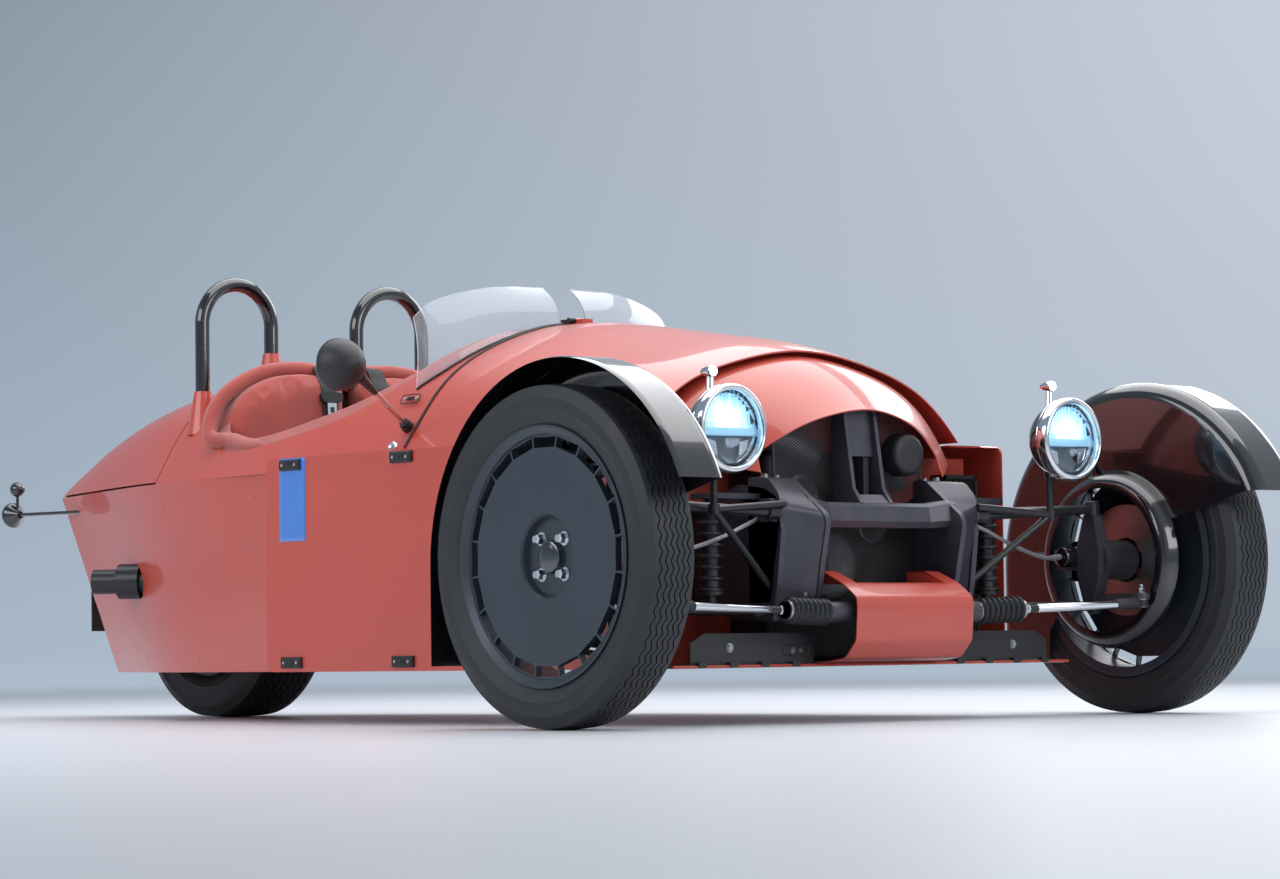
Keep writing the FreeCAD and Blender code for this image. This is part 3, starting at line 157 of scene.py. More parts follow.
def woven(name, colour, thread=900, depth=0.35, sheen=0.4, rough=0.9):
    """Short piled cloth: crossed waves make the weave."""
    material = finish(name, colour, rough, vary=0.1, vary_scale=14, sheen=sheen)
    tree = material.node_tree
    spot = add(tree, "TexCoord", "Object", {})
    total, *others = [add(tree, "TexWave", "Fac", {"Vector": spot, "Scale": thread, "Distortion": 1.2},
                          bands_direction=way) for way in "XYZ"]
    for wave in others:
        total = add(tree, "Math", "Value", {0: total, 1: wave})
    shade(tree, {"Normal": add(tree, "Bump", "Normal",
                               {"Height": total, "Strength": depth, "Distance": 0.0005})})
    return material


PAINT = finish("coral_paint", (0.53, 0.07, 0.045), 0.36, coat=0.6, vary=0.025, grain=0.02, grain_scale=260)
BLACK_GLOSS = finish("black_gloss", (0.006, 0.006, 0.008), 0.16, coat=1, grain=0.015)
BLUE_STRIPE = finish("blue_stripe", (0.05, 0.21, 0.68), 0.3, coat=1, vary=0.03)
RUBBER = finish("tyre_rubber", (0.016, 0.018, 0.022), 0.55, vary=0.25, vary_scale=22, grain=0.35,
                grain_scale=700, rough_vary=0.12)
WHEEL_GREY = finish("wheel_grey", (0.036, 0.048, 0.066), 0.42, metallic=0.35, coat=0.25, coat_rough=0.25,
                    vary=0.05, grain=0.05, grain_scale=900)
CASTING = finish("cast_grey", (0.064, 0.063, 0.08), 0.38, metallic=0.4, vary=0.12, vary_scale=18, grain=0.3,
                 grain_scale=520)
TUBE_BLACK = finish("tube_black", (0.013, 0.014, 0.017), 0.34, vary=0.15, grain=0.1, grain_scale=500)
CHROME = finish("polished_steel", (0.72, 0.74, 0.77), 0.1, metallic=1, vary=0.04, grain=0.03)
DARK_CHROME = finish("dark_chrome", (0.1, 0.105, 0.115), 0.16, metallic=1, vary=0.1, coat=0.6)
STEEL = finish("machined_steel", (0.42, 0.42, 0.43), 0.3, metallic=1, vary=0.1, grain=0.08)
SOFT_BLACK = finish("soft_rubber", (0.012, 0.013, 0.015), 0.5, vary=0.2, grain=0.15)
PLASTIC = finish("moulded_plastic", (0.018, 0.019, 0.022), 0.48, vary=0.12, grain=0.35, grain_scale=1100)
MESH_BLACK = finish("pierced_mesh", (0.03, 0.031, 0.034), 0.45, metallic=0.3, vary=0.15)
ENGINE_GREY = finish("engine_grey", (0.08, 0.08, 0.085), 0.55, metallic=0.5, vary=0.25, vary_scale=30,
                     grain=0.5, grain_scale=300)
CORE = finish("radiator_core", (0.05, 0.05, 0.052), 0.5, metallic=0.5, vary=0.2, grain=0.9, grain_scale=600)
SUEDE = woven("red_suede", (0.42, 0.066, 0.052))
WEBBING = woven("belt_webbing", (0.016, 0.018, 0.024), thread=650, depth=0.6, sheen=0.1, rough=0.6)
SCREEN = clear("clear_screen", (0.9, 0.93, 0.96), ior=1.3, transmission=0.86)
LENS = clear("lamp_glass", (0.93, 0.97, 1))
RED_LENS = clear("red_lens", (0.55, 0.02, 0.02), rough=0.08)
SHELL_BLACK = finish("lamp_shell_black", (0.01, 0.011, 0.014), 0.14, coat=1, vary=0.1)
LAMP_BAR = glowing("lamp_bar", (0.36, 0.66, 0.88), 0.55)
LAMP_DARK = finish("lamp_lower", (0.03, 0.048, 0.075), 0.14, metallic=0.7, coat=0.8, vary=0.2, vary_scale=30)
MIRROR = finish("mirror_silver", (0.8, 0.82, 0.84), 0.02, metallic=1, vary=0.01, rough_vary=0.005)
CAST_ALLOY = finish("cast_alloy", (0.3, 0.3, 0.31), 0.42, metallic=0.7, vary=0.2, vary_scale=30, grain=0.3)
FIN_BROWN = finish("radiator_fins", (0.06, 0.048, 0.04), 0.5, metallic=0.5, vary=0.25, vary_scale=40)
HOSE_GREY = finish("braided_hose", (0.28, 0.28, 0.3), 0.42, metallic=0.4, vary=0.12, grain=0.6,
                   grain_scale=1500)
GAITER_RUBBER = finish("gaiter_rubber", (0.014, 0.015, 0.018), 0.3, vary=0.1, grain=0.04)
DIAL_WHITE = finish("dial_white", (0.7, 0.7, 0.66), 0.5, vary=0.05)
LIT_POINT = glowing("lit_marker", (0.85, 0.95, 1), 6)

NODE_FINISH = {
    PAINT: ("tub_floor", "tub_left", "tub_right", "upper_body", "bonnet", "tail_lid", "nose_cowl",
            "rack_cover", "side_blade_left", "side_blade_right", "hoop_boots"),
    BLACK_GLOSS: ("wing_left", "wing_right", "roll_hoops"),
    RUBBER: ("tyre_front_left", "tyre_front_right", "tyre_rear"),
    WHEEL_GREY: ("rim_front_left", "rim_front_right", "rim_rear"),
    STEEL: ("brake_disc_left", "brake_disc_right"),
    CASTING: ("upright_left", "upright_right", "front_frame", "steering_rack"),
    MESH_BLACK: ("grille_mesh",),
    CORE: ("radiators",),
    ENGINE_GREY: ("engine",),
    PLASTIC: ("undertray", "accessory_ports", "dashboard", "steering_wheel", "plate_holder", "mirrors",
              "panel_hinges"),
    TUBE_BLACK: ("steering_column", "exhaust", "swingarm", "upper_wishbones", "lower_wishbones", "dampers",
                 "lamp_brackets"),
    SOFT_BLACK: ("gaiters",),
    CHROME: ("tie_rods",),
    SHELL_BLACK: ("headlamps", "tail_lamps"),
    LENS: ("headlamp_lenses",),
    SCREEN: ("flyscreens",),
    SUEDE: ("seat_base", "seat_back", "cockpit_trim"),
}
SLOT_MATERIALS = {
    "body_paint": (PAINT,), "tyre": (RUBBER,), "screen": (SCREEN,), "trim_red": (SUEDE,),
    "cast_grey": (CASTING,), "engine_grey": (CAST_ALLOY,), "plastic_black": (PLASTIC,),
    "polished": (CHROME, STEEL, MIRROR), "lamp_shell": (SHELL_BLACK, DARK_CHROME, LAMP_DARK),
    "lamp_lens": (LENS, RED_LENS, LAMP_BAR), "mesh_black": (MESH_BLACK, FIN_BROWN),
    "soft_black": (SOFT_BLACK, GAITER_RUBBER), "tube_black": (TUBE_BLACK, BLACK_GLOSS),
}
SLOT_OF = {material: slot for slot, group in SLOT_MATERIALS.items() for material in group}


def dress_nodes():
    """Every carried-over node gets its finish."""
    for material, names in NODE_FINISH.items():
        for name in names:
            mesh = frame["nodes"][name].data
            mesh.materials.clear()
            mesh.materials.append(material)


# Mesh helpers

def piece(name, points, faces, material, body="chassis", slot="own"):
    """Smooth mesh that rides on a body."""
    mesh = bpy.data.meshes.new(name)
    mesh.from_pydata([tuple(p) for p in points], [], faces)
    mesh.validate()
    mesh.polygons.foreach_set("use_smooth", [True] * len(mesh.polygons))
    mesh.materials.append(material)
    thing = bpy.data.objects.new(name, mesh)
    bpy.context.collection.objects.link(thing)
    if body:
        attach(thing, body)
    slot = SLOT_OF.get(material) if slot == "own" else slot
    return thing


def sharpen(thing, degrees):
    """Smooth shading with edges over the angle left crisp."""
    form = bmesh.new()
    form.from_mesh(thing.data)
    bmesh.ops.recalc_face_normals(form, faces=form.faces)
    limit = math.radians(degrees)
    for edge in form.edges:
        edge.smooth = len(edge.link_faces) == 2 and edge.calc_face_angle(0) < limit
    form.to_mesh(thing.data)
    form.free()


def frame_across(way):
    """Two unit vectors square to a unit vector."""
    helper = UP if abs(way.z) < 0.9 else AHEAD
    first = way.cross(helper).normalized()
    return first, way.cross(first).normalized()


def spokes(first, second, steps):
    """Vectors all the way round, from two that are square to each other."""
    turns = [2 * math.pi * step / steps for step in range(steps)]
    return [first * math.cos(turn) + second * math.sin(turn) for turn in turns]


def grid_faces(rows, columns, loop_rows=False, loop_columns=False):
    """Quads between points given row by row, where either way may close on itself."""
    faces = []
    for row in range(rows if loop_rows else rows - 1):
        low, high = row * columns, (row + 1) % rows * columns
        for index in range(columns if loop_columns else columns - 1):
            after = (index + 1) % columns
            faces.append((low + index, low + after, high + after, high + index))
    return faces


def tube_faces(rows, sides):
    """Closed tube of rings with a flat cap at each end."""
    caps = [tuple(reversed(range(sides))), tuple(range((rows - 1) * sides, rows * sides))]
    return grid_faces(rows, sides, loop_columns=True) + caps


def direction(path, index):
    """Unit vector along a path at one of its points."""
    return (path[min(index + 1, len(path) - 1)] - path[max(index - 1, 0)]).normalized()


def curve_points(knots, steps=10):
    """Smooth run of points through the knots."""
    knots = [Vector(k) for k in knots]
    padded = [knots[0] * 2 - knots[1]] + knots + [knots[-1] * 2 - knots[-2]]
    out = []
    for a, b, c, d in zip(padded, padded[1:], padded[2:], padded[3:]):
        for step in range(steps):
            t = step / steps
            out.append(0.5 * (2 * b + (c - a) * t + (2 * a - 5 * b + 4 * c - d) * t * t
                              + (3 * b - a - 3 * c + d) * t ** 3))
    return out + [knots[-1]]


def rounded(outline, radius, steps=4):
    """Flat outline with every corner turned round."""
    points = []
    for index, corner in enumerate(outline):
        ends = []
        for other in (outline[index - 1], outline[(index + 1) % len(outline)]):
            run = [b - a for a, b in zip(corner, other)]
            length = math.hypot(*run)
            share = min(radius, length * 0.45) / length
            ends.append([a + r * share for a, r in zip(corner, run)])
        for step in range(steps + 1):
            t = step / steps
            points.append(tuple((1 - t) ** 2 * a + 2 * t * (1 - t) * b + t * t * c
                                for a, b, c in zip(ends[0], corner, ends[1])))
    return points


class Form:
    """Small forms gathered into the points and faces of one piece."""

    def __init__(self):
        self.points = []
        self.faces = []

    def add(self, points, faces):
        start = len(self.points)
        self.points += [Vector(p) for p in points]
        self.faces += [tuple(start + i for i in face) for face in faces]

    def turned(self, centre, axis, profile, steps=24, closed=False):
        """Turn (along, radius) points about an axis through the centre. A closed profile makes a ring."""
        axis = Vector(axis).normalized()
        points = [Vector(centre) + axis * along + out * radius
                  for out in spokes(*frame_across(axis), steps) for along, radius in profile]
        self.add(points, grid_faces(steps, len(profile), loop_rows=True, loop_columns=closed))

    def solid(self, centre, axis, profile, steps=24):
        """Turned form that is closed flat at both ends."""
        self.turned(centre, axis, [(profile[0][0], 0), *profile, (profile[-1][0], 0)], steps)

    def loft(self, near, far):
        """Solid between two outlines with the same number of corners."""
        self.add([*near, *far], tube_faces(2, len(near)))

    def prism(self, outline, way):
        """Solid between a flat outline and its copy moved along a vector."""
        self.loft(outline, [Vector(p) + Vector(way) for p in outline])

    def block(self, low, high):
        (x0, y0, z0), (x1, y1, z1) = low, high
        self.prism([(x0, y0, z0), (x1, y0, z0), (x1, y1, z0), (x0, y1, z0)], (0, 0, z1 - z0))

    def swept(self, path, radius, sides=12):
        """Round tube along a path, kept from twisting."""
        path = [Vector(p) for p in path]
        rings = []
        normal = frame_across(direction(path, 0))[0]
        for index, point in enumerate(path):
            way = direction(path, index)
            normal = (normal - way * normal.dot(way)).normalized()
            rings += [point + out * radius for out in spokes(normal, way.cross(normal), sides)]
        self.add(rings, tube_faces(len(path), sides))

    def strap(self, path, across, wide, thick):
        """Flat band along a path, its width lying along one direction."""
        section = ((-1, -0.6), (-1, 0.6), (-0.9, 1), (0.9, 1), (1, 0.6), (1, -0.6), (0.9, -1), (-0.9, -1))
        rings = []
        for index, point in enumerate(path):
            way = direction(path, index)
            side = (across - way * across.dot(way)).normalized()
            rise = way.cross(side)
            rings += [point + side * a * wide / 2 + rise * b * thick / 2 for a, b in section]
        self.add(rings, tube_faces(len(path), len(section)))

    def bolt(self, place, axis, radius, head=0.6):
        """Hexagon head on its washer, seated on a face."""
        washer, top = radius * 0.2, radius * (0.2 + head)
        self.solid(place, axis, [(-0.001, radius * 1.35), (washer, radius * 1.35)], 20)
        self.solid(place, axis, [(0, radius), (top - radius * 0.12, radius), (top, radius * 0.84)], 6)

    def mirrored(self):
        """Add the same forms on the other side of the car."""
        self.add([(p.x, -p.y, p.z) for p in self.points], [tuple(reversed(face)) for face in self.faces])

    def make(self, name, material, degrees=32, body="chassis", slot="own"):
        thing = piece(name, self.points, self.faces, material, body, slot)
        form = bmesh.new()
        form.from_mesh(thing.data)
        bmesh.ops.remove_doubles(form, verts=form.verts, dist=2e-6)
        form.to_mesh(thing.data)
        form.free()
        sharpen(thing, degrees)
        return thing


# Tyres and wheels

def tyre_profile(half, bore, outer, tread_half):
    """Side wall points from one bead to the tread edge, as (across, radius)."""
    return [(half - 0.0145, bore), (half - 0.014, bore + 0.01), (half - 0.009, bore + 0.017),
            (half - 0.0045, bore + 0.026), (half - 0.002, bore + 0.036), (half - 0.0012, bore + 0.0385),
            (half - 0.0004, bore + 0.04), (half - 0.0012, bore + 0.0415), (half - 0.0006, bore + 0.05),
            (half - 0.0002, (bore + outer) / 2 + 0.004), (half - 0.0022, outer - 0.03),
            (half - 0.0015, outer - 0.0285), (half - 0.0022, outer - 0.0265), (half - 0.0058, outer - 0.0165),
            (half - 0.01, outer - 0.0095), (tread_half + 0.002, outer - 0.005)]


def tread_section(half, bore, outer, ribs, groove, shift):
    """One slice through a tyre, its grooves shifted across by the zigzag."""
    tread_half, deep = half - 0.013, 0.0055
    pitch = 2 * tread_half / ribs
    wall = tyre_profile(half, bore, outer, tread_half)

    def crown(across):
        return outer - 0.0036 * (across / tread_half) ** 2

    section = [(-across, radius) for across, radius in wall]
    for index in range(ribs):
        left, right = -tread_half + index * pitch, -tread_half + (index + 1) * pitch
        near = 0 if index == 0 else shift + groove / 2
        far = 0 if index == ribs - 1 else shift - groove / 2
        section += [(left + near, crown(left)), (right + far, crown(right))]
        if index < ribs - 1:
            section += [(right + far + groove * 0.15, crown(right) - deep),
                        (right + shift + groove * 0.35, crown(right) - deep)]
    return section + wall[::-1] + [(half - 0.016, bore), (-half + 0.016, bore)]


def treaded_tyre(node, body, bore, ribs, zigzags, groove, swing):
    """Tyre with smooth walls and a tread of zigzag ribs, in the same outline as its node."""
    low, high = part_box(node)
    centre, half, outer = (low + high) / 2, (high.y - low.y) / 2, (high.z - low.z) / 2
    rows, points = zigzags * 2, []
    for row in range(rows):
        turn = 2 * math.pi * row / rows
        section = tread_section(half, bore, outer, ribs, groove, swing if row % 2 else -swing)
        points += [centre + Vector((radius * math.sin(turn), across, radius * math.cos(turn)))
                   for across, radius in section]
    faces = grid_faces(rows, len(section), loop_rows=True, loop_columns=True)
    thing = piece(node + "_treaded", points, faces, RUBBER, body)
    sharpen(thing, 35)
    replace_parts(thing, node)


def wheel_nuts(side):
    """Four bright nuts with washers round a plain cap on the front disc."""
    name = side_name(side)
    low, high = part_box(f"tyre_front_{name}")
    centre = (low + high) / 2
    rim_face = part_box(f"rim_front_{name}")[1 if side == LEFT else 0].y
    out = (0, side, 0)
    circle, seat = 0.052, rim_face - side * 0.033
    nuts, cap = Form(), Form()
    for turn in (math.radians(45 + 90 * nut) for nut in range(4)):
        middle = (centre.x + circle * math.sin(turn), seat, centre.z + circle * math.cos(turn))
        nuts.turned(middle, out, [(0, 0.015), (0.0015, 0.015), (0.0015, 0.0125), (0.0015, 0)])
        nuts.turned(middle, out, [(0.0015, 0.0115), (0.016, 0.0112), (0.02, 0.0085), (0.02, 0)], 6)
    nuts.make(f"wheel_nuts_{name}", CHROME, 1, body=f"wheel_{name}")
    cap.turned((centre.x, rim_face - side * 0.025, centre.z), out,
               [(0, 0.034), (0.004, 0.034), (0.0065, 0.032), (0.0065, 0.028), (0.008, 0.024),
                (0.0095, 0)], 48)
    cap.make(f"wheel_cap_{name}", DARK_CHROME, 180, body=f"wheel_{name}")


# Lamps

LAMP = Vector((0.135, 0.516, 0.627))
MARKER = Vector((0.076, 0.516, 0.7514))


def mirrored_place(place, side):
    return at(place.x, side * place.y, place.z)


def lamp_housing(side):
    """Gloss black bowl of one lamp, open in front, with its glass and the socket of its post."""
    name = side_name(side)
    middle = mirrored_place(LAMP, side)
    back = curve_points([(-0.112, 0, 0), (-0.102, 0, 0.034), (-0.0616, 0, 0.0744), (-0.022, 0, 0.088)], 8)
    inside = [(-0.016, 0.0928), (0, 0.0928), (0, 0.0815), (-0.012, 0.079), (-0.024, 0.0765)]
    shell = Form()
    shell.turned(middle, AHEAD, [(p.x, max(p.z, 0)) for p in back] + inside, 72)
    shell.turned(at(0.066, side * LAMP.y, LAMP.z - 0.0845), UP,
                 [(0, 0), (0, 0.0138), (0.0015, 0.015), (0.015, 0.015)], 28)
    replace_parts(shell.make(f"lamp_housing_{name}", SHELL_BLACK, 40), "headlamps")
    reach, bend, thick, rings = 0.0795, 0.23, 0.0022, 15
    outer = [(0.0062 - bend + math.sqrt(bend ** 2 - r ** 2), r)
             for r in (reach * ring / (rings - 1) for ring in range(rings))]
    glass = Form()
    glass.turned(middle, AHEAD, outer + [(along - thick, r) for along, r in reversed(outer)], 72)
    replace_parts(glass.make(f"lamp_glass_{name}", LENS, 50), "headlamp_lenses")


def lamp_glow(name, centre):
    """Lit upper half of a lamp: white in the middle, blue and streaked towards the rim."""
    material = finish(name, (0.55, 0.75, 0.92), 0.15, vary=0.05)
    tree = material.node_tree
    spot = add(tree, "TexCoord", "Object", {})
    shift = add(tree, "Mapping", "Vector", {"Vector": spot, "Location": -centre})
    length = add(tree, "VectorMath", "Value", {0: shift}, operation="LENGTH")
    stretch = add(tree, "Mapping", "Vector", {"Vector": spot, "Scale": (60, 150, 22)})
    streak = add(tree, "TexNoise", "Fac", {"Vector": stretch, "Scale": 1, "Detail": 3})
    far = add(tree, "Math", "Value", {0: streak, 1: 0.055, 2: length}, operation="MULTIPLY_ADD")
    shades = ramp(tree, far, (0.04, (1, 1, 1)), (0.115, (0.02, 0.09, 0.17)),
                  (0.062, (0.62, 0.88, 1)), (0.085, (0.16, 0.45, 0.72)))
    shade(tree, {"Emission Color": shades, "Emission Strength": 1.25})
    return material


def lamp_guides(middle):
    """Row of upright flutes that fills the upper half of the lamp's round."""
    form, reach, flutes, foot, edge = Form(), 0.0758, 15, 0.002, 0.0004
    pitch = 2 * reach / flutes
    for left in (-reach + flute * pitch for flute in range(flutes)):
        tall = math.sqrt(max(reach ** 2 - max(abs(left), abs(left + pitch)) ** 2, 0.0001))
        outline = [(0, left + edge), (0.0032, left + pitch / 2), (0, left + pitch - edge)]
        form.prism([middle + Vector((x - 0.0165, y, foot)) for x, y in outline], (-0.004, 0, tall - foot))
    return form


def lamp_lower_bowl(middle):
    """Dark dished face of the lamp's lower half."""
    form, rows, columns = Form(), 8, 24
    points = []
    for share in (row / rows for row in range(rows + 1)):
        radius, deep = 0.0768 * share, 0.0245 * share ** 2 - 0.04
        for turn in (math.pi * column / columns for column in range(columns + 1)):
            points.append(middle + Vector((deep, -radius * math.cos(turn),
                                           -0.0145 - radius * math.sin(turn) * 0.8)))
    form.add(points, grid_faces(rows + 1, columns + 1))
    return form


def headlamp_inside(side):
    """Reflector, lit light guides, divider bar and dark lower bowl behind the lens."""
    name = side_name(side)
    middle = mirrored_place(LAMP, side)
    bowl = Form()
    bowl.turned(middle, AHEAD, [(-0.0115, 0.0745), (-0.022, 0.0735), (-0.038, 0.064), (-0.052, 0.046),
                                (-0.06, 0.02), (-0.062, 0)], 48)
    bowl.make(f"lamp_reflector_{name}", CHROME)
    glow = lamp_glow(f"lamp_glow_{name}", middle + Vector((-0.02, 0, 0.012)))
    lamp_guides(middle).make(f"lamp_guides_{name}", glow, 20)
    bar, half = Form(), 0.0762
    outline = [(-0.022, 0.002), (-0.0155, 0.001), (-0.0132, -0.004), (-0.0132, -0.009), (-0.0155, -0.0135),
               (-0.022, -0.0145)]
    bar.prism([middle + Vector((x, -half, z)) for x, z in outline], (0, 2 * half, 0))
    bar.make(f"lamp_divider_{name}", LAMP_BAR)
    lamp_lower_bowl(middle).make(f"lamp_lower_bowl_{name}", LAMP_DARK, 60)
    kick = Form()
    outline = [(0.034, -0.028), (0.058, -0.022), (0.052, -0.042), (0.038, -0.055), (0.03, -0.056)]
    for way in (-1, 1):
        kick.prism([middle + Vector((-0.016, way * y, z)) for y, z in outline], (-0.006, way * 0.002, -0.004))
    kick.make(f"lamp_kick_reflectors_{name}", CHROME)


def lamp_trim(side):
    """Polished bezel, seam ring, stalk sleeve and marker lens of one lamp."""
    name = side_name(side)
    middle, tip = mirrored_place(LAMP, side), mirrored_place(MARKER, side)
    bezel, stalk, glass = Form(), Form(), Form()
    bezel.turned(middle, AHEAD, [(-0.0185, 0.093), (-0.019, 0.0938), (-0.0165, 0.0946), (-0.011, 0.095),
                                 (-0.002, 0.0948), (0.003, 0.0938), (0.0065, 0.0912), (0.008, 0.088),
                                 (0.008, 0.085), (0.0068, 0.0828), (0.004, 0.0814), (-0.004, 0.0802),
                                 (-0.0235, 0.0768), (-0.0235, 0.079), (-0.006, 0.09)], 96, closed=True)
    bezel.turned(middle, AHEAD, [(-0.0265, 0.0895), (-0.0255, 0.0928), (-0.0235, 0.0934), (-0.0222, 0.0926),
                                 (-0.0222, 0.0895)], 96)
    bezel.make(f"lamp_bezel_{name}", CHROME, 50)
    stalk.turned(at(0.066, side * LAMP.y, LAMP.z + 0.066), UP,
                 [(0, 0.0125), (0.005, 0.0128), (0.009, 0.0108), (0.012, 0.0098), (0.056, 0.0072),
                  (0.062, 0.0068)], 28)
    stalk.turned(tip, AHEAD, [(-0.0352, 0), (-0.035, 0.0062), (-0.0305, 0.0082), (-0.01, 0.0126),
                              (-0.001, 0.013), (0.0006, 0.0126), (0.0008, 0.0108), (-0.0004, 0.0104),
                              (-0.0004, 0)], 32)
    stalk.make(f"marker_shell_{name}", CHROME, 50)
    glass.turned(tip, AHEAD, [(-0.0002, 0.0104), (0.002, 0.0094), (0.0036, 0.0066), (0.0044, 0.003),
                              (0.0046, 0)], 28)
    glass.make(f"marker_glass_{name}", LIT_POINT, 60)


def tail_lamp_glass(side):
    """Red glass set into the rear rim of a tail lamp, with its bright bead ring."""
    name = side_name(side)
    middle = Vector((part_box("tail_lamps")[0].x, side * 0.262, 0.557))
    glass, rim = Form(), Form()
    glass.turned(middle, BACK, [(0, 0), (-0.0001, 0.01), (0, 0.0235), (-0.0004, 0.0275), (-0.0016, 0.029),
                                (-0.008, 0.029)], 40)
    for ring in (0.009, 0.018):
        glass.turned(middle, BACK, [(0.0002, ring - 0.0012), (0.0003, ring), (0.0002, ring + 0.0012),
                                    (-0.002, ring)], 40, closed=True)
    glass.make(f"tail_lamp_glass_{name}", RED_LENS, 60)
    rim.turned(middle, BACK, [(-0.0014, 0.0285), (0, 0.03), (0, 0.033), (-0.0016, 0.0344), (-0.009, 0.034),
                              (-0.009, 0.03)], 40, closed=True)
    rim.make(f"tail_lamp_rim_{name}", DARK_CHROME, 50)


# Mouth

def hull_outline(points):
    """Corners of the smallest convex outline round flat (across, up) points."""
    points = sorted(set((round(a, 5), round(b, 5)) for a, b in points))
    outline = []
    for run in (points, points[::-1]):
        chain = []
        for p in run:
            while len(chain) > 1 and ((chain[-1][0] - chain[-2][0]) * (p[1] - chain[-2][1])
                                      <= (chain[-1][1] - chain[-2][1]) * (p[0] - chain[-2][0])):
                chain.pop()
            chain.append(p)
        outline += chain[:-1]
    return outline


def clipped(outline, origin, way):
    """The stretch of a flat line that lies within a convex outline, as two run lengths."""
    low, high = -10, 10
    for (a, b), (c, d) in zip(outline, outline[1:] + outline[:1]):
        gap = (origin[1] - b) * (c - a) - (origin[0] - a) * (d - b)
        rate = way[1] * (c - a) - way[0] * (d - b)
        if abs(rate) < 1e-9:
            if gap < 0:
                return None
        elif rate > 0:
            low = max(low, -gap / rate)
        else:
            high = min(high, -gap / rate)
    return (low, high) if high - low > 0.004 else None


def fine_mesh():
    """Fine crossed wire mesh in a thin frame, in the outline of the grille."""
    low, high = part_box("grille_mesh")
    outline = hull_outline([v.co.yz for v in frame["nodes"]["grille_mesh"].data.vertices])
    middle = ((low + high) / 2).yz
    pitch, half_wire, deep, half_count = 0.0056, 0.00095, 0.0007, 62
    mesh = Form()
    for lean, x in ((math.radians(28), low.x + 0.0008), (math.radians(-28), low.x + 0.0016)):
        way = Vector((math.cos(lean), math.sin(lean)))
        side = Vector((-way.y, way.x))
        edge = side * half_wire
        for index in range(-half_count, half_count + 1):
            origin = middle + side * pitch * index
            run = clipped(outline, origin, way)
            if run:
                near, far = (origin + way * t for t in run)
                corners = (near - edge, near + edge, far + edge, far - edge)
                mesh.prism([(x, *p) for p in corners], (deep, 0, 0))
    inner = [middle + (Vector(corner) - middle) * 0.975 for corner in outline]
    for index in range(len(outline)):
        before = index - 1
        mesh.prism([(low.x, *outline[before]), (low.x, *outline[index]), (low.x, *inner[index]),
                    (low.x, *inner[before])], (high.x - low.x, 0, 0))
    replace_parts(mesh.make("fine_mesh", MESH_BLACK, 20), "grille_mesh")


def mesh_cap():
    """Round rubber cap on the left half of the mesh."""
    cap = Form()
    cap.turned(at(-0.0602, 0.15, 0.592), AHEAD,
               [(0, 0), (0, 0.048), (0.033, 0.0476), (0.04, 0.0452), (0.044, 0.0405), (0.0458, 0.035),
                (0.0462, 0.02), (0.0455, 0)], 56)
    cap.make("mesh_cap", SOFT_BLACK, 50)


def engine_front():
    """Pulleys, belt, alternator and intake horn that show dimly behind the mesh."""
    wheels, horn, belt = Form(), Form(), Form()
    face = -0.1295
    for across, up, radius in ((-0.02, 0.345, 0.072), (-0.105, 0.497, 0.05), (0.105, 0.44, 0.045),
                               (0.02, 0.49, 0.03)):
        section = [(0, 0.9), (0.012, 1), (0.016, 0.93), (0.022, 1), (0.034, 1), (0.036, 0.86), (0.028, 0.6),
                   (0.028, 0.3), (0.042, 0.26)]
        wheels.solid(at(face, across, up), AHEAD, [(along, radius * share) for along, share in section], 40)
    wheels.make("engine_pulleys", CAST_ALLOY, 40)
    horn.swept(curve_points([at(-0.118, -0.195, 0.63), at(-0.11, -0.15, 0.62), at(-0.108, -0.1, 0.6),
                             at(-0.108, -0.065, 0.585)], 8), 0.03, 24)
    horn.swept(curve_points([at(-0.11, 0.2, 0.52), at(-0.105, 0.16, 0.575), at(-0.105, 0.12, 0.6),
                             at(-0.112, 0.07, 0.61)], 8), 0.02, 20)
    horn.make("engine_ducts", CAST_ALLOY, 50)
    loop = [(-0.092, 0.329), (-0.15, 0.48), (-0.13, 0.545), (-0.07, 0.535), (0.02, 0.455), (0.09, 0.487),
            (0.145, 0.465), (0.145, 0.42), (0.05, 0.3), (-0.02, 0.262), (-0.078, 0.29), (-0.092, 0.329)]
    belt.strap(curve_points([at(face + 0.027, a, b) for a, b in loop], 5), AHEAD, 0.018, 0.004)
    belt.make("engine_belt", SOFT_BLACK, 50, slot=None)


# Body fittings

def surface(*names):
    """Search tree over some nodes' surfaces."""
    points, faces = [], []
    for name in names:
        mesh = frame["nodes"][name].data
        start = len(points)
        points += [v.co.copy() for v in mesh.vertices]
        faces += [tuple(start + i for i in polygon.vertices) for polygon in mesh.polygons]
    return BVHTree.FromPolygons(points, faces)


def height(tree, along, across):
    """Top of the surface above a place in the plan, or None off its edge."""
    hit = tree.ray_cast(at(along, across, 1.4), -UP)[0]
    return hit.z if hit else None


def bonnet_seal():
    """Soft seal in the gap between bonnet and scuttle, with a bright bead on the scuttle's side."""
    tree = surface("upper_body")
    seal, bead = Form(), Form()
    rows = [(across, height(tree, -1.0062, across)) for across in (step * 0.0104 for step in range(-50, 51))]
    rows = [(across, up) for across, up in rows if up is not None and up > 0.63]
    seal.swept([at(-1.0035, across, up + 0.0006) for across, up in rows], 0.0034, 10)
    bead.swept([at(-1.0092, across, up + 0.0002) for across, up in rows], 0.0011, 8)
    seal.make("bonnet_seal", SOFT_BLACK, 60, slot=None)
    bead.make("bonnet_seal_bead", PAINT, 60)


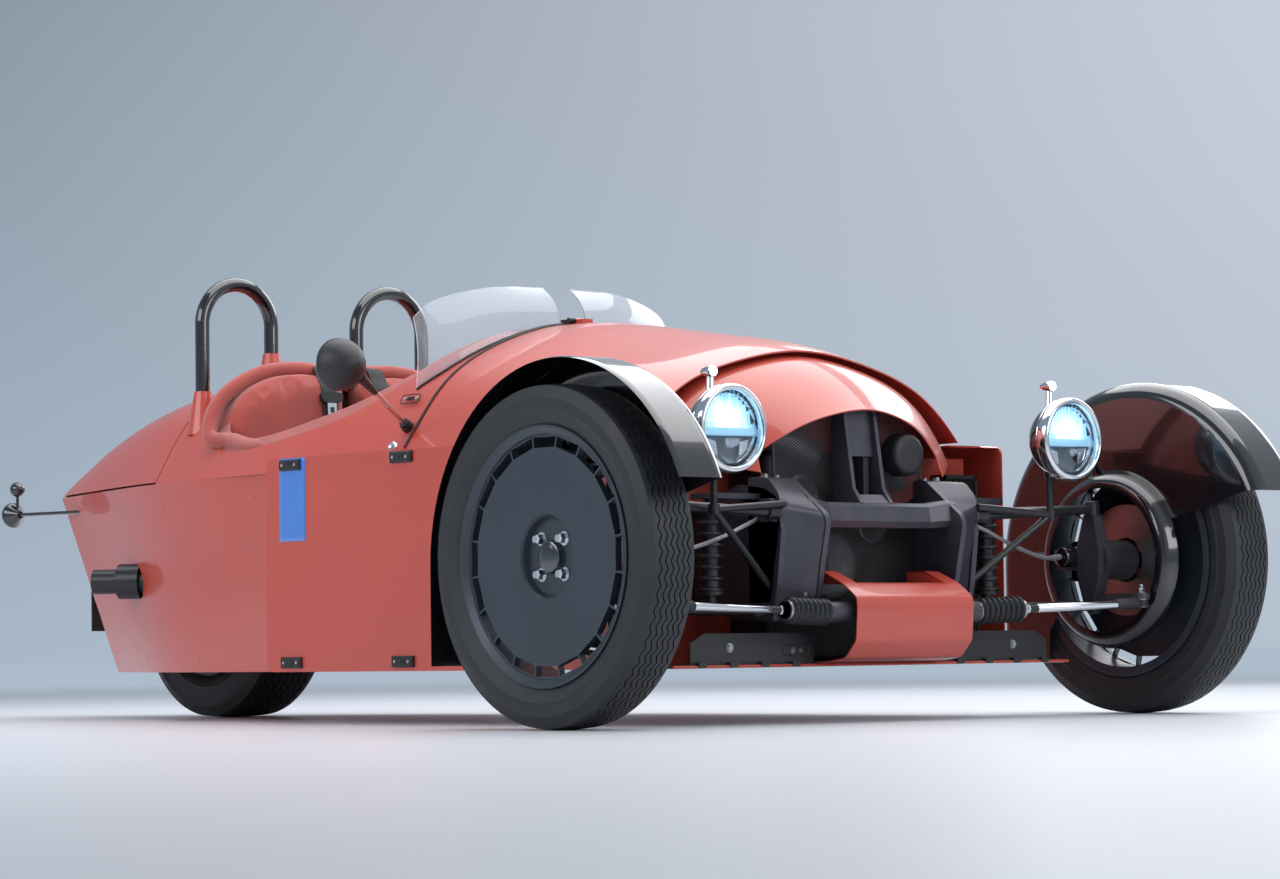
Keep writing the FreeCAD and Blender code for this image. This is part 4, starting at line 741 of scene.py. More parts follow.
def fixing_port(rims, catches, middle, up, out, half_long, half_high):
    """Raised rim, centre block and two catches of one port that lies along the car."""
    corner, loop = 0.006, []
    for sx, sy, first in ((1, 1, 0), (-1, 1, 90), (-1, -1, 180), (1, -1, 270)):
        for turn in (math.radians(first + 22.5 * step) for step in range(5)):
            x = sx * (half_long - corner) + corner * math.cos(turn)
            y = sy * (half_high - corner) + corner * math.sin(turn)
            loop.append(middle + AHEAD * x + up * y)
    rims.swept(loop + loop[:2], 0.0014, 8)
    for back, front, half_tall, low, thick in ((-0.36, 0.36, 0.42, -0.001, 0.0026),
                                               (-0.3, 0.12, 0.26, 0.0016, 0.0014)):
        corners = ((back, -half_tall), (front, -half_tall), (front, half_tall), (back, half_tall))
        rims.prism([middle + AHEAD * x * half_long + up * y * half_high + out * low for x, y in corners],
                   out * thick)
    for way in (-1, 1):
        catches.solid(middle + AHEAD * way * half_long * 0.72, out,
                      [(-0.001, 0.0042), (0.0012, 0.0042), (0.0022, 0.0032), (0.0014, 0.0016)], 16)


def port_forms():
    """Forms on the ports of the side panels and of the scuttle."""
    rims, catches = Form(), Form()
    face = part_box("side_blade_left")[1].y + 0.008
    lean, along, across = math.radians(58), -1.082, 0.434
    tree = surface("upper_body")
    for side in SIDES:
        for x in (-1.335, -0.899):
            for z in (0.611, 0.144):
                fixing_port(rims, catches, at(x, side * face, z), UP, Vector((0, side, 0)), 0.0355, 0.0092)
        out = Vector((0, side * math.sin(lean), math.cos(lean)))
        up = Vector((0, side * math.cos(lean), -math.sin(lean)))
        seat = at(along, side * across, height(tree, along, side * across))
        fixing_port(rims, catches, seat + out * 0.009, up, out, 0.0345, 0.0118)
    rims.make("port_rims", PLASTIC, 40)
    catches.make("port_catches", STEEL, 40)


def tray_front():
    """Red lip along the tray's front edge with its clips, and the dark side plates behind it."""
    low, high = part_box("undertray")
    edge = high.x
    lip, clips, plates, bolts = Form(), Form(), Form(), Form()
    outline = [(0.0005, 0), (0.0045, 0.0006), (0.006, 0.003), (0.0045, 0.006), (0.0005, 0.0064)]
    lip.prism([(edge + x, -0.6, low.z + z) for x, z in outline], (0, 1.2, 0))
    lip.make("tray_lip", PAINT, 30)
    half, top = 0.011, high.z + 0.0035
    for across in (-0.52, -0.43, -0.34, -0.25, 0.25, 0.34, 0.43, 0.52):
        clips.block((edge - 0.006, across - half, high.z), (edge + 0.0075, across + half, top))
        clips.block((edge + 0.0062, across - half, low.z + 0.001), (edge + 0.0078, across + half, top))
    clips.make("tray_clips", PLASTIC, 30)
    face, thick = edge - 0.012, 0.004
    outline = [(0.185, 0.1305), (0.54, 0.1305), (0.54, 0.176), (0.5, 0.196), (0.225, 0.196), (0.2, 0.188),
               (0.185, 0.17)]
    slot = rounded([(0.2, 0.147), (0.275, 0.147), (0.275, 0.169), (0.2, 0.169)], 0.01)
    for side in SIDES:
        plates.prism([(face, side * a, z) for a, z in outline], (thick, 0, 0))
        plates.swept([(face + thick, side * a, z) for a, z in slot + slot[:2]], 0.0022, 8)
        for across, up, radius in ((0.222, 0.158, 0.0052), (0.247, 0.158, 0.0052), (0.43, 0.165, 0.0075)):
            bolts.bolt((face + thick, side * across, up), AHEAD, radius)
    plates.make("tray_side_plates", PLASTIC, 30)
    bolts.make("tray_bolts", STEEL, 30)


def radiator_fins():
    """Fine louvres and end rails on the front of both radiators."""
    low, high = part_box("radiators")
    fins, rails = Form(), Form()
    inner, outer, louvres, ribs, margin = 0.444, 0.541, 96, 9, 0.012
    face = high.x
    for share in (index / (louvres - 1) for index in range(louvres)):
        up = low.z + margin + (high.z - low.z - 2 * margin) * share
        fins.prism([(face, inner, up), (face + 0.005, inner, up - 0.0012), (face + 0.005, inner, up - 0.0002),
                    (face, inner, up + 0.0011)], (0, outer - inner, 0))
    for across in (inner + (outer - inner) * (index + 0.5) / ribs for index in range(ribs)):
        fins.block((face, across - 0.0012, low.z + 0.006), (face + 0.0058, across + 0.0012, high.z - 0.006))
    for across in (inner - 0.003, outer - 0.002):
        rails.block((face, across, low.z + 0.002), (face + 0.009, across + 0.006, high.z - 0.002))
    for up in (low.z + 0.001, high.z - 0.01):
        rails.block((face, inner - 0.003, up), (face + 0.009, outer + 0.004, up + 0.009))
    fins.mirrored()
    rails.mirrored()
    fins.make("radiator_fins", FIN_BROWN, 20)
    rails.make("radiator_rails", PLASTIC, 30)


def mirror_trim():
    """Mirror glass with its rim, bright stalk sleeve and the dark knob at its foot."""
    glass, rim, sleeve, knob = Form(), Form(), Form(), Form()
    tree, along, across = surface("upper_body"), -1.03, 0.486
    for side in SIDES:
        head = at(-0.94, side * 0.75, 0.82)
        glass.turned(head, BACK, [(0.0046, 0), (0.0046, 0.03), (0.0044, 0.054), (0.002, 0.0548)], 56)
        rim.turned(head, BACK, [(0.003, 0.0545), (0.0078, 0.055), (0.0092, 0.0575), (0.008, 0.0602),
                                (0, 0.0604), (0, 0.059)], 56, closed=True)
        foot = at(along, side * across, height(tree, along, side * across))
        way = head + Vector((0.02, -side * 0.02, -0.01)) - foot
        run = way.length
        sleeve.solid(foot, way, [(0.03, 0.0066), (run * 0.62, 0.0058)], 20)
        knob.solid(foot, way, [(0.006, 0.0125), (0.012, 0.0135), (0.026, 0.0135), (0.031, 0.0115)], 8)
        knob.turned(foot, way, [(run * 0.6, 0), (run * 0.6, 0.0068), (run * 0.66, 0.0086),
                                (run * 0.86, 0.0135), (run * 0.88, 0)], 20)
    glass.make("mirror_glass", MIRROR, 60)
    rim.make("mirror_rims", PLASTIC, 60)
    sleeve.make("mirror_sleeves", CHROME, 60)
    knob.make("mirror_knobs", PLASTIC, 60)


def body_fasteners():
    """Round catches below the bonnet seam and the small rivets low on the tail."""
    catches, rivets = Form(), Form()
    tree = surface("tub_left", "tub_right")
    places = ((-1.55, 0.15), (-1.95, 0.15), (-2.35, 0.155), (-2.7, 0.175), (-1.6, 0.545), (-2.1, 0.545),
              (-2.55, 0.548))
    for side in SIDES:
        catches.solid(at(-1.004, side * 0.5545, 0.64), (0, side, 0.25),
                      [(-0.004, 0.0125), (0.002, 0.0125), (0.0045, 0.0105), (0.0045, 0.0075),
                       (0.003, 0.006)], 28)
        for along, up in places:
            hit, normal, _, _ = tree.ray_cast(at(along, side * 0.9, up), Vector((0, -side, 0)))
            if hit:
                rivets.turned(hit, normal if normal.y * side > 0 else -normal,
                              [(-0.001, 0), (-0.001, 0.0036), (0.0004, 0.0036), (0.0012, 0.0022),
                               (0.0014, 0)], 14)
    catches.make("bonnet_catches", CHROME, 50)
    rivets.make("tail_rivets", PAINT, 60)


# Cast frame, rack cover and screens

def cast_cheeks():
    """Cheeks of the cast frame beside the mesh."""
    form, seat, corner = Form(), -0.0597, 0.01
    near = [(seat, 0.536), (-0.02, 0.534), (0.032, 0.492), (0.084, 0.454), (0.093, 0.432), (0.073, 0.346),
            (0.06, 0.279), (0.052, 0.262), (seat, 0.262)]
    far = [(seat, 0.536), (0.006, 0.53), (0.036, 0.5), (0.046, 0.472), (0.038, 0.422), (0.022, 0.346),
           (0.012, 0.279), (0.008, 0.262), (seat, 0.262)]
    form.loft([at(x, 0.212, z) for x, z in rounded(near, corner)],
              [at(x, 0.3, z) for x, z in rounded(far, corner)])
    lip = rounded([(x + 0.003 if x > 0 else x, z) for x, z in near], corner)
    form.prism([at(x, 0.2, z) for x, z in lip], (0, 0.014, 0))
    form.mirrored()
    form.make("frame_cheeks", CASTING, 30)


def cast_strut():
    """Channel shaped strut under the nose: two side walls, a web between them and a foot."""
    form, back, low, top = Form(), -0.0595, 0.465, 0.694
    wall = [(back, low), (0.03, low), (0.03, low + 0.016), (0.006, low + 0.048), (-0.022, top), (back, top)]
    web = [(back, low + 0.12), (-0.0205, low + 0.12), (-0.034, top), (back, top)]
    foot = [(back, low), (0.029, low), (0.029, low + 0.015), (0.01, low + 0.034), (back, low + 0.034)]
    for outline, start, wide in ((wall, -0.05, 0.01), (wall, 0.04, 0.01), (web, -0.041, 0.082),
                                 (foot, -0.041, 0.082)):
        form.prism([at(x, start, z) for x, z in outline], (0, wide, 0))
    form.make("frame_strut", CASTING, 30)


COVER_BACK = -0.018
COVER_MIDDLE = Vector((0.05, 0.22))


def cover_wall(start, skin, bottom):
    """Thin wall round the rack cover's front, from one of its two kinds of top."""
    front = [(0.102, 0.303), (0.147, 0.272), (0.15, 0.25), (0.144, 0.176), (0.108, 0.138), (0.052, bottom),
             (COVER_BACK, bottom)]
    outer = rounded(start + front, 0.009, steps=4)[4:-4]
    inner = [Vector(p) + (COVER_MIDDLE - Vector(p)).normalized() * skin for p in outer]
    return outer + inner[::-1]


def cover_shell():
    """Thin walled cover round the rack, open behind, lower between its two ears."""
    bottom, skin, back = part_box("rack_cover")[0].z, 0.003, COVER_BACK
    notch, ear, shelf, top = 0.135, 0.176, 0.303, 0.33
    low_wall = cover_wall([(back, shelf)], skin, bottom)
    ear_wall = cover_wall([(back, top), (0.038, top)], skin, bottom)
    step = [(back, shelf - skin), (0.101, shelf - skin), (0.038, top - 0.001), (back, top - 0.001)]
    form = Form()
    for outline, start, wide in ((low_wall, -notch, 2 * notch), (ear_wall, -ear, ear - notch),
                                 (ear_wall, notch, ear - notch), (step, -notch - skin, skin),
                                 (step, notch, skin)):
        form.prism([at(x, start, z) for x, z in outline], (0, wide, 0))
    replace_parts(form.make("rack_cover_shell", PAINT, 30), "rack_cover")


def wind_screens():
    """Two clear curved screens on the scuttle, each in a thin dark foot."""
    tree = surface("upper_body")
    foot = curve_points([(-1.01, 0.04, 0), (-1.02, 0.2, 0), (-1.046, 0.345, 0), (-1.1, 0.41, 0)], 12)
    top = curve_points([(-1.08, 0.042, 1.04), (-1.086, 0.2, 1.033), (-1.112, 0.335, 1.002),
                        (-1.124, 0.398, 0.957)], 12)
    base = [at(p.x, p.y, (height(tree, p.x, p.y) or 0.93) + 0.0005) for p in foot]
    rows, count, thick = 11, len(foot), 0.0035
    pane, rail, points = Form(), Form(), []
    for offset in (0, thick):
        for share in (row / (rows - 1) for row in range(rows)):
            bulge = 0.012 * math.sin(math.pi * share)
            points += [low.lerp(at(*high), share) + Vector((bulge - offset, 0, bulge * 0.6))
                       for low, high in zip(base, top)]
    sheet = rows * count
    faces = grid_faces(rows, count)
    faces += [tuple(sheet + i for i in reversed(quad)) for quad in faces]
    rim = [*range(count), *range(2 * count - 1, sheet - 1, count), *range(sheet - 1, sheet - count - 1, -1),
           *range(sheet - 2 * count, 0, -count)]
    faces += [(after, index, sheet + index, sheet + after) for index, after in zip(rim, rim[1:] + rim[:1])]
    pane.add(points, faces)
    rail.swept([p + Vector((0.0008, 0, 0.0008)) for p in base], 0.0042, 10)
    pane.mirrored()
    rail.mirrored()
    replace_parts(pane.make("screen_panes", SCREEN, 40), "flyscreens")
    rail.make("screen_feet", SOFT_BLACK, 60)


# Suspension fittings

ROD_INNER = Vector((0.106, 0.226, 0.239))
ROD_OUTER = Vector((0.15, 0.72, 0.2547))


def rod_place(side, across):
    """Point on a tie rod's line at a distance from the middle of the car."""
    share = (across - ROD_INNER.y) / (ROD_OUTER.y - ROD_INNER.y)
    return mirrored_place(ROD_INNER.lerp(ROD_OUTER, share), side)


def frame_bolts():
    """Pivot caps, shaft bolts and small fixings on the cast frame."""
    caps, bolts = Form(), Form()
    for side in SIDES:
        caps.turned(at(0.034, side * 0.3325, 0.456), (0, side, 0),
                    [(-0.03, 0.0158), (-0.004, 0.0172), (-0.001, 0.0172), (0.0004, 0.016),
                     (0.0004, 0)], 28)
        bolts.bolt(at(-0.02, side * 0.3332, 0.244), (0, side, 0), 0.0085)
        bolts.bolt(at(0.064, side * 0.25, 0.2775), (0.9, 0, -0.3), 0.0048)
        bolts.bolt(at(0.07, side * 0.225, 0.262), (0.9, 0, -0.3), 0.0048)
        bolts.bolt(at(-0.05, side * 0.262, 0.5365), UP, 0.0085)
        bolts.bolt(at(-0.05, side * 0.225, 0.5365), UP, 0.006)
    caps.make("pivot_caps", TUBE_BLACK, 40)
    bolts.make("frame_bolts", STEEL, 30)


def gaiters():
    """Rubber gaiters with eight deep folds, open at both ends, in place of the plainer ones."""
    form, folds, start, end = Form(), 8, 0.231, 0.353
    bore, neck = 0.0178, 0.0205
    pitch = (end - start) / folds
    profile = [(0.2262, bore), (0.2262, neck), (start, 0.0208)]
    for low in (start + pitch * fold for fold in range(folds)):
        profile += [(low + pitch * share, radius) for share, radius in
                    ((0.18, 0.0236), (0.38, 0.029), (0.5, 0.03), (0.62, 0.029), (0.82, 0.0236), (1, 0.0208))]
    profile += [(0.3605, neck), (0.3605, bore)]
    for side in SIDES:
        foot = rod_place(side, 0)
        way = rod_place(side, 0.6) - foot
        lean = way.length / 0.6
        form.turned(foot, way, [(across * lean, radius) for across, radius in profile], 48, closed=True)
    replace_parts(form.make("gaiter_folds", GAITER_RUBBER, 60), "gaiters")


def rack_trim():
    """Clamps on the gaiters."""
    clamps = Form()
    for side in SIDES:
        for across in (0.2275, 0.357):
            clamps.turned(rod_place(side, across), rod_place(side, 0.6) - rod_place(side, 0.2),
                          [(-0.003, 0.02), (-0.003, 0.0222), (0.003, 0.0222), (0.003, 0.02)], 36, closed=True)
    clamps.make("gaiter_clamps", STEEL, 40)


def knuckle_trim(side):
    """Black caliper covers, brake cylinder, ball joint boots and bolts on one upright."""
    name = side_name(side)
    body = f"knuckle_{name}"
    out = (0, side, 0)
    pin, hub_up, arm = 0.72, 0.358, 0.15
    caliper, boots, bolts = Form(), Form(), Form()
    rear, front, low, high = -0.1512, -0.0908, hub_up - 0.0472, hub_up + 0.0472
    cheek = [(rear + 0.012, low), (front, low), (front, high), (rear + 0.012, high), (rear, high - 0.014),
             (rear, low + 0.014)]
    bridge = [(rear, low + 0.016), (rear + 0.0105, low + 0.004), (rear + 0.0105, high - 0.004),
              (rear, high - 0.016)]
    for outline, start, wide in ((cheek, 0.8055, 0.022), (cheek, 0.8455, 0.0182), (bridge, 0.827, 0.019)):
        caliper.prism([at(x, side * start, z) for x, z in outline], (0, side * wide, 0))
    caliper.solid(at(-0.056, side * 0.668, 0.366), out, [(0, 0.016), (0.003, 0.0215), (0.01, 0.024),
                                                         (0.046, 0.024)], 32)
    for up, way in ((0.489, 1), (0.2375, -1)):
        boots.turned(at(0, side * pin, up), (0, 0, way),
                     [(-0.001, 0), (-0.001, 0.0145), (0.003, 0.015), (0.0055, 0.012), (0.006, 0)], 28)
    for up in (hub_up - 0.03, hub_up + 0.03):
        bolts.bolt(at(-0.121, side * 0.8052, up), (0, -side, 0), 0.0068)
    bolts.bolt(at(arm, side * pin, 0.2782), UP, 0.0082, head=1.1)
    bolts.solid(at(arm, side * pin, 0.285), UP, [(0, 0.0052), (0.011, 0.0052), (0.0125, 0.004)], 16)
    caliper.make(f"brake_caliper_{name}", BLACK_GLOSS, 40, body)
    boots.make(f"ball_caps_{name}", SOFT_BLACK, 50, body)
    bolts.make(f"knuckle_bolts_{name}", STEEL, 30, body)


def tie_rod_trim():
    """Bright rod tubes with lock nuts, dark sleeves, and rod ends with their boots."""
    tubes, sleeves, ends = Form(), Form(), Form()
    for side in SIDES:
        way = rod_place(side, 0.7) - rod_place(side, 0.3)
        run = (rod_place(side, 0.7) - rod_place(side, 0.6)).length / 0.1
        tubes.turned(rod_place(side, 0.404), way,
                     [(0, 0), (0, 0.0084), (0.002, 0.0096), (0.236 * run, 0.0096), (0.238 * run, 0)], 28)
        tubes.solid(rod_place(side, 0.372), way, [(0, 0.0106), (0.007, 0.0106)], 6)
        sleeves.solid(rod_place(side, 0.379), way, [(0, 0.009), (0.025, 0.009)])
        ends.solid(rod_place(side, 0.642), way, [(0, 0.01), (0.003, 0.0122), (0.05, 0.0134), (0.062, 0.014)])
        ends.solid(rod_place(side, 0.72) - UP * 0.0105, UP,
                   [(0, 0.0135), (0.003, 0.0156), (0.015, 0.0156), (0.0185, 0.015)], 28)
    tubes.make("tie_rod_tubes", CHROME, 40, "rack_bar")
    sleeves.make("tie_rod_sleeves", TUBE_BLACK, 40, "rack_bar")
    ends.make("tie_rod_ends", SOFT_BLACK, 40, "rack_bar")


def brake_hose(side):
    """Grey brake hose that runs from the frame to the caliper."""
    name = side_name(side)
    knots = [(-0.03, 0.3, 0.447), (-0.01, 0.33, 0.438), (-0.004, 0.375, 0.422), (-0.005, 0.43, 0.401),
             (-0.012, 0.5, 0.38), (-0.034, 0.575, 0.366), (-0.05, 0.63, 0.363), (-0.056, 0.67, 0.366)]
    knots = [at(x, side * y, z) for x, y, z in knots]
    hose = Form()
    hose.swept(curve_points(knots, 8), 0.0046)
    hose.swept(curve_points(knots[-2:], 4), 0.0066)
    thing = hose.make(f"brake_hose_{name}", HOSE_GREY, 60, body=None)
    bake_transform(thing)


# Cabin

def settle(thing):
    """Apply every modifier on a piece."""
    graph = bpy.context.evaluated_depsgraph_get()
    mesh = bpy.data.meshes.new_from_object(thing.evaluated_get(graph))
    thing.modifiers.clear()
    thing.data = mesh
    mesh.polygons.foreach_set("use_smooth", [True] * len(mesh.polygons))


def smooth_voxels(thing, voxel):
    """Even mesh with rounded edges in place of a faceted one."""
    remesh = thing.modifiers.new("voxels", "REMESH")
    remesh.mode = "VOXEL"
    remesh.voxel_size = voxel
    remesh.use_smooth_shade = True
    smooth = thing.modifiers.new("rounding", "SMOOTH")
    smooth.factor = 0.6
    smooth.iterations = 14
    settle(thing)


def puff(thing, limit):
    """Blow a pad up a little with cloth pressure, no point moving further than the limit."""
    rest = [v.co.copy() for v in thing.data.vertices]
    steps = 20
    cloth = thing.modifiers.new("puff", "CLOTH")
    settings = cloth.settings
    settings.quality = 5
    settings.mass = 0.3
    settings.tension_stiffness = settings.compression_stiffness = 30
    settings.shear_stiffness = 12
    settings.bending_stiffness = 1.5
    settings.use_pressure = True
    settings.uniform_pressure_force = 4
    settings.effector_weights.gravity = 0
    cloth.point_cache.frame_start = 1
    cloth.point_cache.frame_end = steps
    for step in range(1, steps + 1):
        bpy.context.scene.frame_set(step)
    settle(thing)
    for vertex, start in zip(thing.data.vertices, rest):
        move = vertex.co - start
        if move.length > limit:
            vertex.co = start + move.normalized() * limit
    bpy.context.scene.frame_set(1)


def finish_pad(thing, swell):
    puff(thing, swell)
    split = thing.modifiers.new("finer", "SUBSURF")
    split.levels = split.render_levels = 1
    settle(thing)


def soft_form(name, outline, low, high, voxel, swell):
    """Closed pad from a side outline between two places across the car, rounded and then puffed up."""
    form = Form()
    form.prism([at(x, low, z) for x, z in outline], (0, high - low, 0))
    thing = form.make(name, SUEDE, 180)
    smooth_voxels(thing, voxel)
    finish_pad(thing, swell)
    return thing


def seat_back(side):
    """Padded back with a rounded outer shoulder, reclined and thinner towards its top."""
    rear, depth = -1.979, 0.106
    outline = [(0.016, 0.27), (0.392, 0.27), (0.4, 0.5), (0.41, 0.68), (0.404, 0.742), (0.376, 0.8),
               (0.333, 0.842), (0.286, 0.866), (0.235, 0.884), (0.15, 0.893), (0.07, 0.888), (0.022, 0.868)]
    form = Form()
    form.prism([at(rear, side * y, z) for y, z in rounded(outline, 0.03)], (depth, 0, 0))
    thing = form.make(f"seat_back_{side_name(side)}", SUEDE, 180)
    smooth_voxels(thing, 0.008)
    base, foot, bend = at(rear, 0, 0).x, 0.27, 0.5
    for vertex in thing.data.vertices:
        up = vertex.co.z
        share = 1 - 0.1 * max(0, up - foot) - 0.9 * max(0, up - bend) ** 1.35 / 0.4 ** 0.35
        vertex.co.x = base + (vertex.co.x - base) * max(share, 0.3)
    finish_pad(thing, 0.014)
    return thing


def seats():
    """Two seat cushions on a plinth and two shaped backs, which are handed on for the belts."""
    plinth = soft_form("seat_plinth", [(-1.85, 0.1275), (-1.43, 0.1275), (-1.43, 0.19), (-1.85, 0.19)],
                       -0.418, 0.418, 0.01, 0.002)
    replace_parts(plinth, "seat_base")
    cushion = [(-1.846, 0.192), (-1.434, 0.192), (-1.432, 0.268), (-1.47, 0.286), (-1.846, 0.262)]
    backs = {}
    for side in SIDES:
        inner, outer = sorted((side * 0.01, side * 0.416))
        base = soft_form(f"seat_cushion_{side_name(side)}", cushion, inner, outer, 0.008, 0.014)
        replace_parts(base, "seat_base")
        backs[side] = seat_back(side)
        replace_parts(backs[side], "seat_back")
    return backs


def roll_front():
    """Run of the padded roll along the cockpit's lining, sinking towards the front."""
    tree = surface("cockpit_trim")
    middle, sink_start, sink_run, end = at(-1.555, 0, 0), at(-1.8, 0, 0).x, 0.22, at(-1.868, 0, 0).x
    path = []
    for turn in (math.radians(2.2 * step) for step in range(-60, 61)):
        way = Vector((math.cos(turn), math.sin(turn), 0))
        for drop in range(80):
            hit, _, _, far = tree.ray_cast(Vector((middle.x, middle.y, 0.955 - 0.005 * drop)), way)
            if hit and 0.3 < far < 0.7:
                ahead = min(max((hit.x - sink_start) / sink_run, 0), 1)
                path.append(hit + way * (0.004 - 0.008 * ahead) - UP * (0.008 + 0.026 * ahead))
                break
    return [p for p in path if p.x > end]


def roll_path():
    """Middle line of the padded roll: along the lining in front, over the seat backs behind."""
    front = roll_front()
    back = [(-1.905, 0.45, 0.688), (-1.932, 0.432, 0.742), (-1.945, 0.392, 0.802), (-1.951, 0.335, 0.843),
            (-1.953, 0.287, 0.866), (-1.954, 0.235, 0.883), (-1.955, 0.15, 0.892), (-1.955, 0.07, 0.887),
            (-1.955, 0, 0.878)]
    back += [(x, -y, z) for x, y, z in reversed(back[:-1])]
    back = curve_points([at(*p) for p in back], 5)
    ring = front + back if front[-1].y > 0 else front[::-1] + back
    for _ in range(4):
        ring = [(ring[i - 1] + ring[i] * 2 + ring[(i + 1) % len(ring)]) / 4 for i in range(len(ring))]
    return ring


def cockpit_roll():
    """Padded roll round the cockpit."""
    ring = roll_path()
    sides, radius, tall = 24, 0.0185, 1.1
    points = []
    for index, point in enumerate(ring):
        along = (ring[(index + 1) % len(ring)] - ring[index - 1]).normalized()
        out = along.cross(UP).normalized()
        points += [point + spoke * radius for spoke in spokes(out, out.cross(along) * tall, sides)]
    form = Form()
    form.add(points, grid_faces(len(ring), sides, loop_rows=True, loop_columns=True))
    thing = form.make("cockpit_roll", SUEDE, 180)
    puff(thing, 0.006)


def belt_path(side, back):
    """Line of a belt over the top of a seat back and down its front."""
    tree = BVHTree.FromPolygons([v.co.copy() for v in back.data.vertices],
                                [tuple(p.vertices) for p in back.data.polygons])
    path = []
    for up in (0.868, 0.845, 0.815, 0.78, 0.74, 0.68, 0.6, 0.5, 0.4):
        hit = tree.ray_cast(at(-1.6, side * (0.086 + 0.045 * (0.868 - up)), up), BACK)[0]
        if hit:
            path.append(hit + AHEAD * 0.004)
    over = [path[0] + Vector((x, -side * y, z)) for x, y, z in
            ((-0.064, 0.004, 0.012), (-0.046, 0.003, 0.036), (-0.018, 0.001, 0.026))]
    return curve_points(over + path, 6)


def belts(backs):
    """Black webbing down each seat back with its buckle and latch plate."""
    webbing, holders, plates = Form(), Form(), Form()
    across = Vector((0, 1, 0))
    holder = rounded([(-0.032, -0.014), (0.032, -0.014), (0.034, -0.002), (0.026, 0.012), (-0.026, 0.012),
                      (-0.034, -0.002)], 0.005)
    plate = rounded([(-0.014, 0.008), (0.014, 0.008), (0.014, 0.044), (0.009, 0.05), (-0.009, 0.05),
                     (-0.014, 0.044)], 0.003)
    slot = [(-0.006, 0.024), (0.006, 0.024), (0.006, 0.038), (-0.006, 0.038)]
    for side in SIDES:
        path = belt_path(side, backs[side])
        webbing.strap(path, across, 0.047, 0.0022)
        spot, below = (min(path, key=lambda p: abs(p.z - up)) for up in (0.815, 0.745))
        down = (below - spot).normalized()
        out = down.cross(across).normalized()
        for form, outline, rise, thick in ((holders, holder, 0.001, 0.012), (plates, plate, 0.006, 0.003),
                                           (holders, slot, 0.0091, 0.0008)):
            form.prism([spot + across * a + down * b + out * rise for a, b in outline], out * thick)
    webbing.make("belt_webbing", WEBBING, 40)
    holders.make("belt_holders", PLASTIC, 30)
    plates.make("belt_plates", CHROME, 30)


def dial(rims, dials, marks, middle, radius):
    """Round dial that faces the driver, with its bright rim, ticks and hand."""
    rims.turned(middle, BACK, [(-0.001, radius), (0.006, radius), (0.009, radius - 0.003),
                               (0.006, radius - 0.007), (-0.001, radius - 0.007)], 48, closed=True)
    dials.turned(middle, BACK, [(0.0015, 0), (0.0015, radius - 0.006), (-0.001, radius - 0.006)], 48)
    tick = ((radius - 0.01, 0.0007), (radius - 0.01, -0.0007), (radius - 0.016, -0.0007),
            (radius - 0.016, 0.0007))
    hand = ((radius - 0.013, 0), (-0.006, 0.0016), (-0.006, -0.0016))
    strokes = [(-135 + 27 * index, tick, 0.0016, 0.0004) for index in range(11)]
    for degrees, outline, rise, thick in strokes + [(-100, hand, 0.003, 0.0006)]:
        turn = math.radians(degrees)
        out = Vector((0, math.sin(turn), math.cos(turn)))
        marks.prism([middle + BACK * rise + out * a + out.cross(BACK) * b for a, b in outline], BACK * thick)


def dash_fittings():
    """Two round dials with bright rims, a row of toggles, and a gear lever with its gaiter."""
    rims, dials, marks, gaiter = Form(), Form(), Form(), Form()
    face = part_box("dashboard")[0].x - AXLE
    for across in (-0.045, 0.045):
        dial(rims, dials, marks, at(face, across, 0.8), 0.047)
    for across in (-0.08 + 0.04 * index for index in range(5)):
        middle = at(face, across, 0.73)
        rims.turned(middle, BACK, [(-0.001, 0.0075), (0.002, 0.0075), (0.003, 0.0055), (0.003, 0)], 20)
        rims.turned(middle, (-1, 0, -0.35), [(0, 0), (0, 0.0026), (0.014, 0.0034), (0.018, 0.003),
                                             (0.019, 0)], 14)
    gaiter.turned(at(-1.33, 0, 0.128), UP, [(0, 0.07), (0.03, 0.064), (0.11, 0.04), (0.16, 0.022),
                                            (0.19, 0.012), (0.19, 0)], 32)
    foot, lean, reach = at(-1.33, 0, 0.31), Vector((-0.15, 0, 1)).normalized(), 0.15
    rims.solid(foot, lean, [(0, 0.0055), (reach, 0.005)], 16)
    dials.turned(foot + lean * reach, lean, [(-0.01, 0), (-0.009, 0.01), (0.002, 0.019), (0.014, 0.022),
                                             (0.026, 0.018), (0.033, 0.008), (0.034, 0)], 28)
    rims.make("dash_rims", CHROME, 40)
    dials.make("dash_dials", BLACK_GLOSS, 40, slot="plastic_black")
    marks.make("dial_marks", DIAL_WHITE, 40)
    gaiter.make("lever_gaiter", SOFT_BLACK, 50)


def blade_stripe():
    """Plain blue stripe on the right side panel, hung from its top edge."""
    low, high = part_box("side_blade_right")
    proud, columns, rows = 0.0006, 10, 20
    back, front = AXLE - 1.383, AXLE - 1.277
    bottom, top = 0.43, high.z - 0.001
    points = [(back + (front - back) * column / columns, low.y - proud, bottom + (top - bottom) * row / rows)
              for row in range(rows + 1) for column in range(columns + 1)]
    thing = piece("blue_stripe", points, grid_faces(rows + 1, columns + 1), BLUE_STRIPE)
    thing.modifiers.new("thickness", "SOLIDIFY").thickness = proud


# Stage, camera and lights

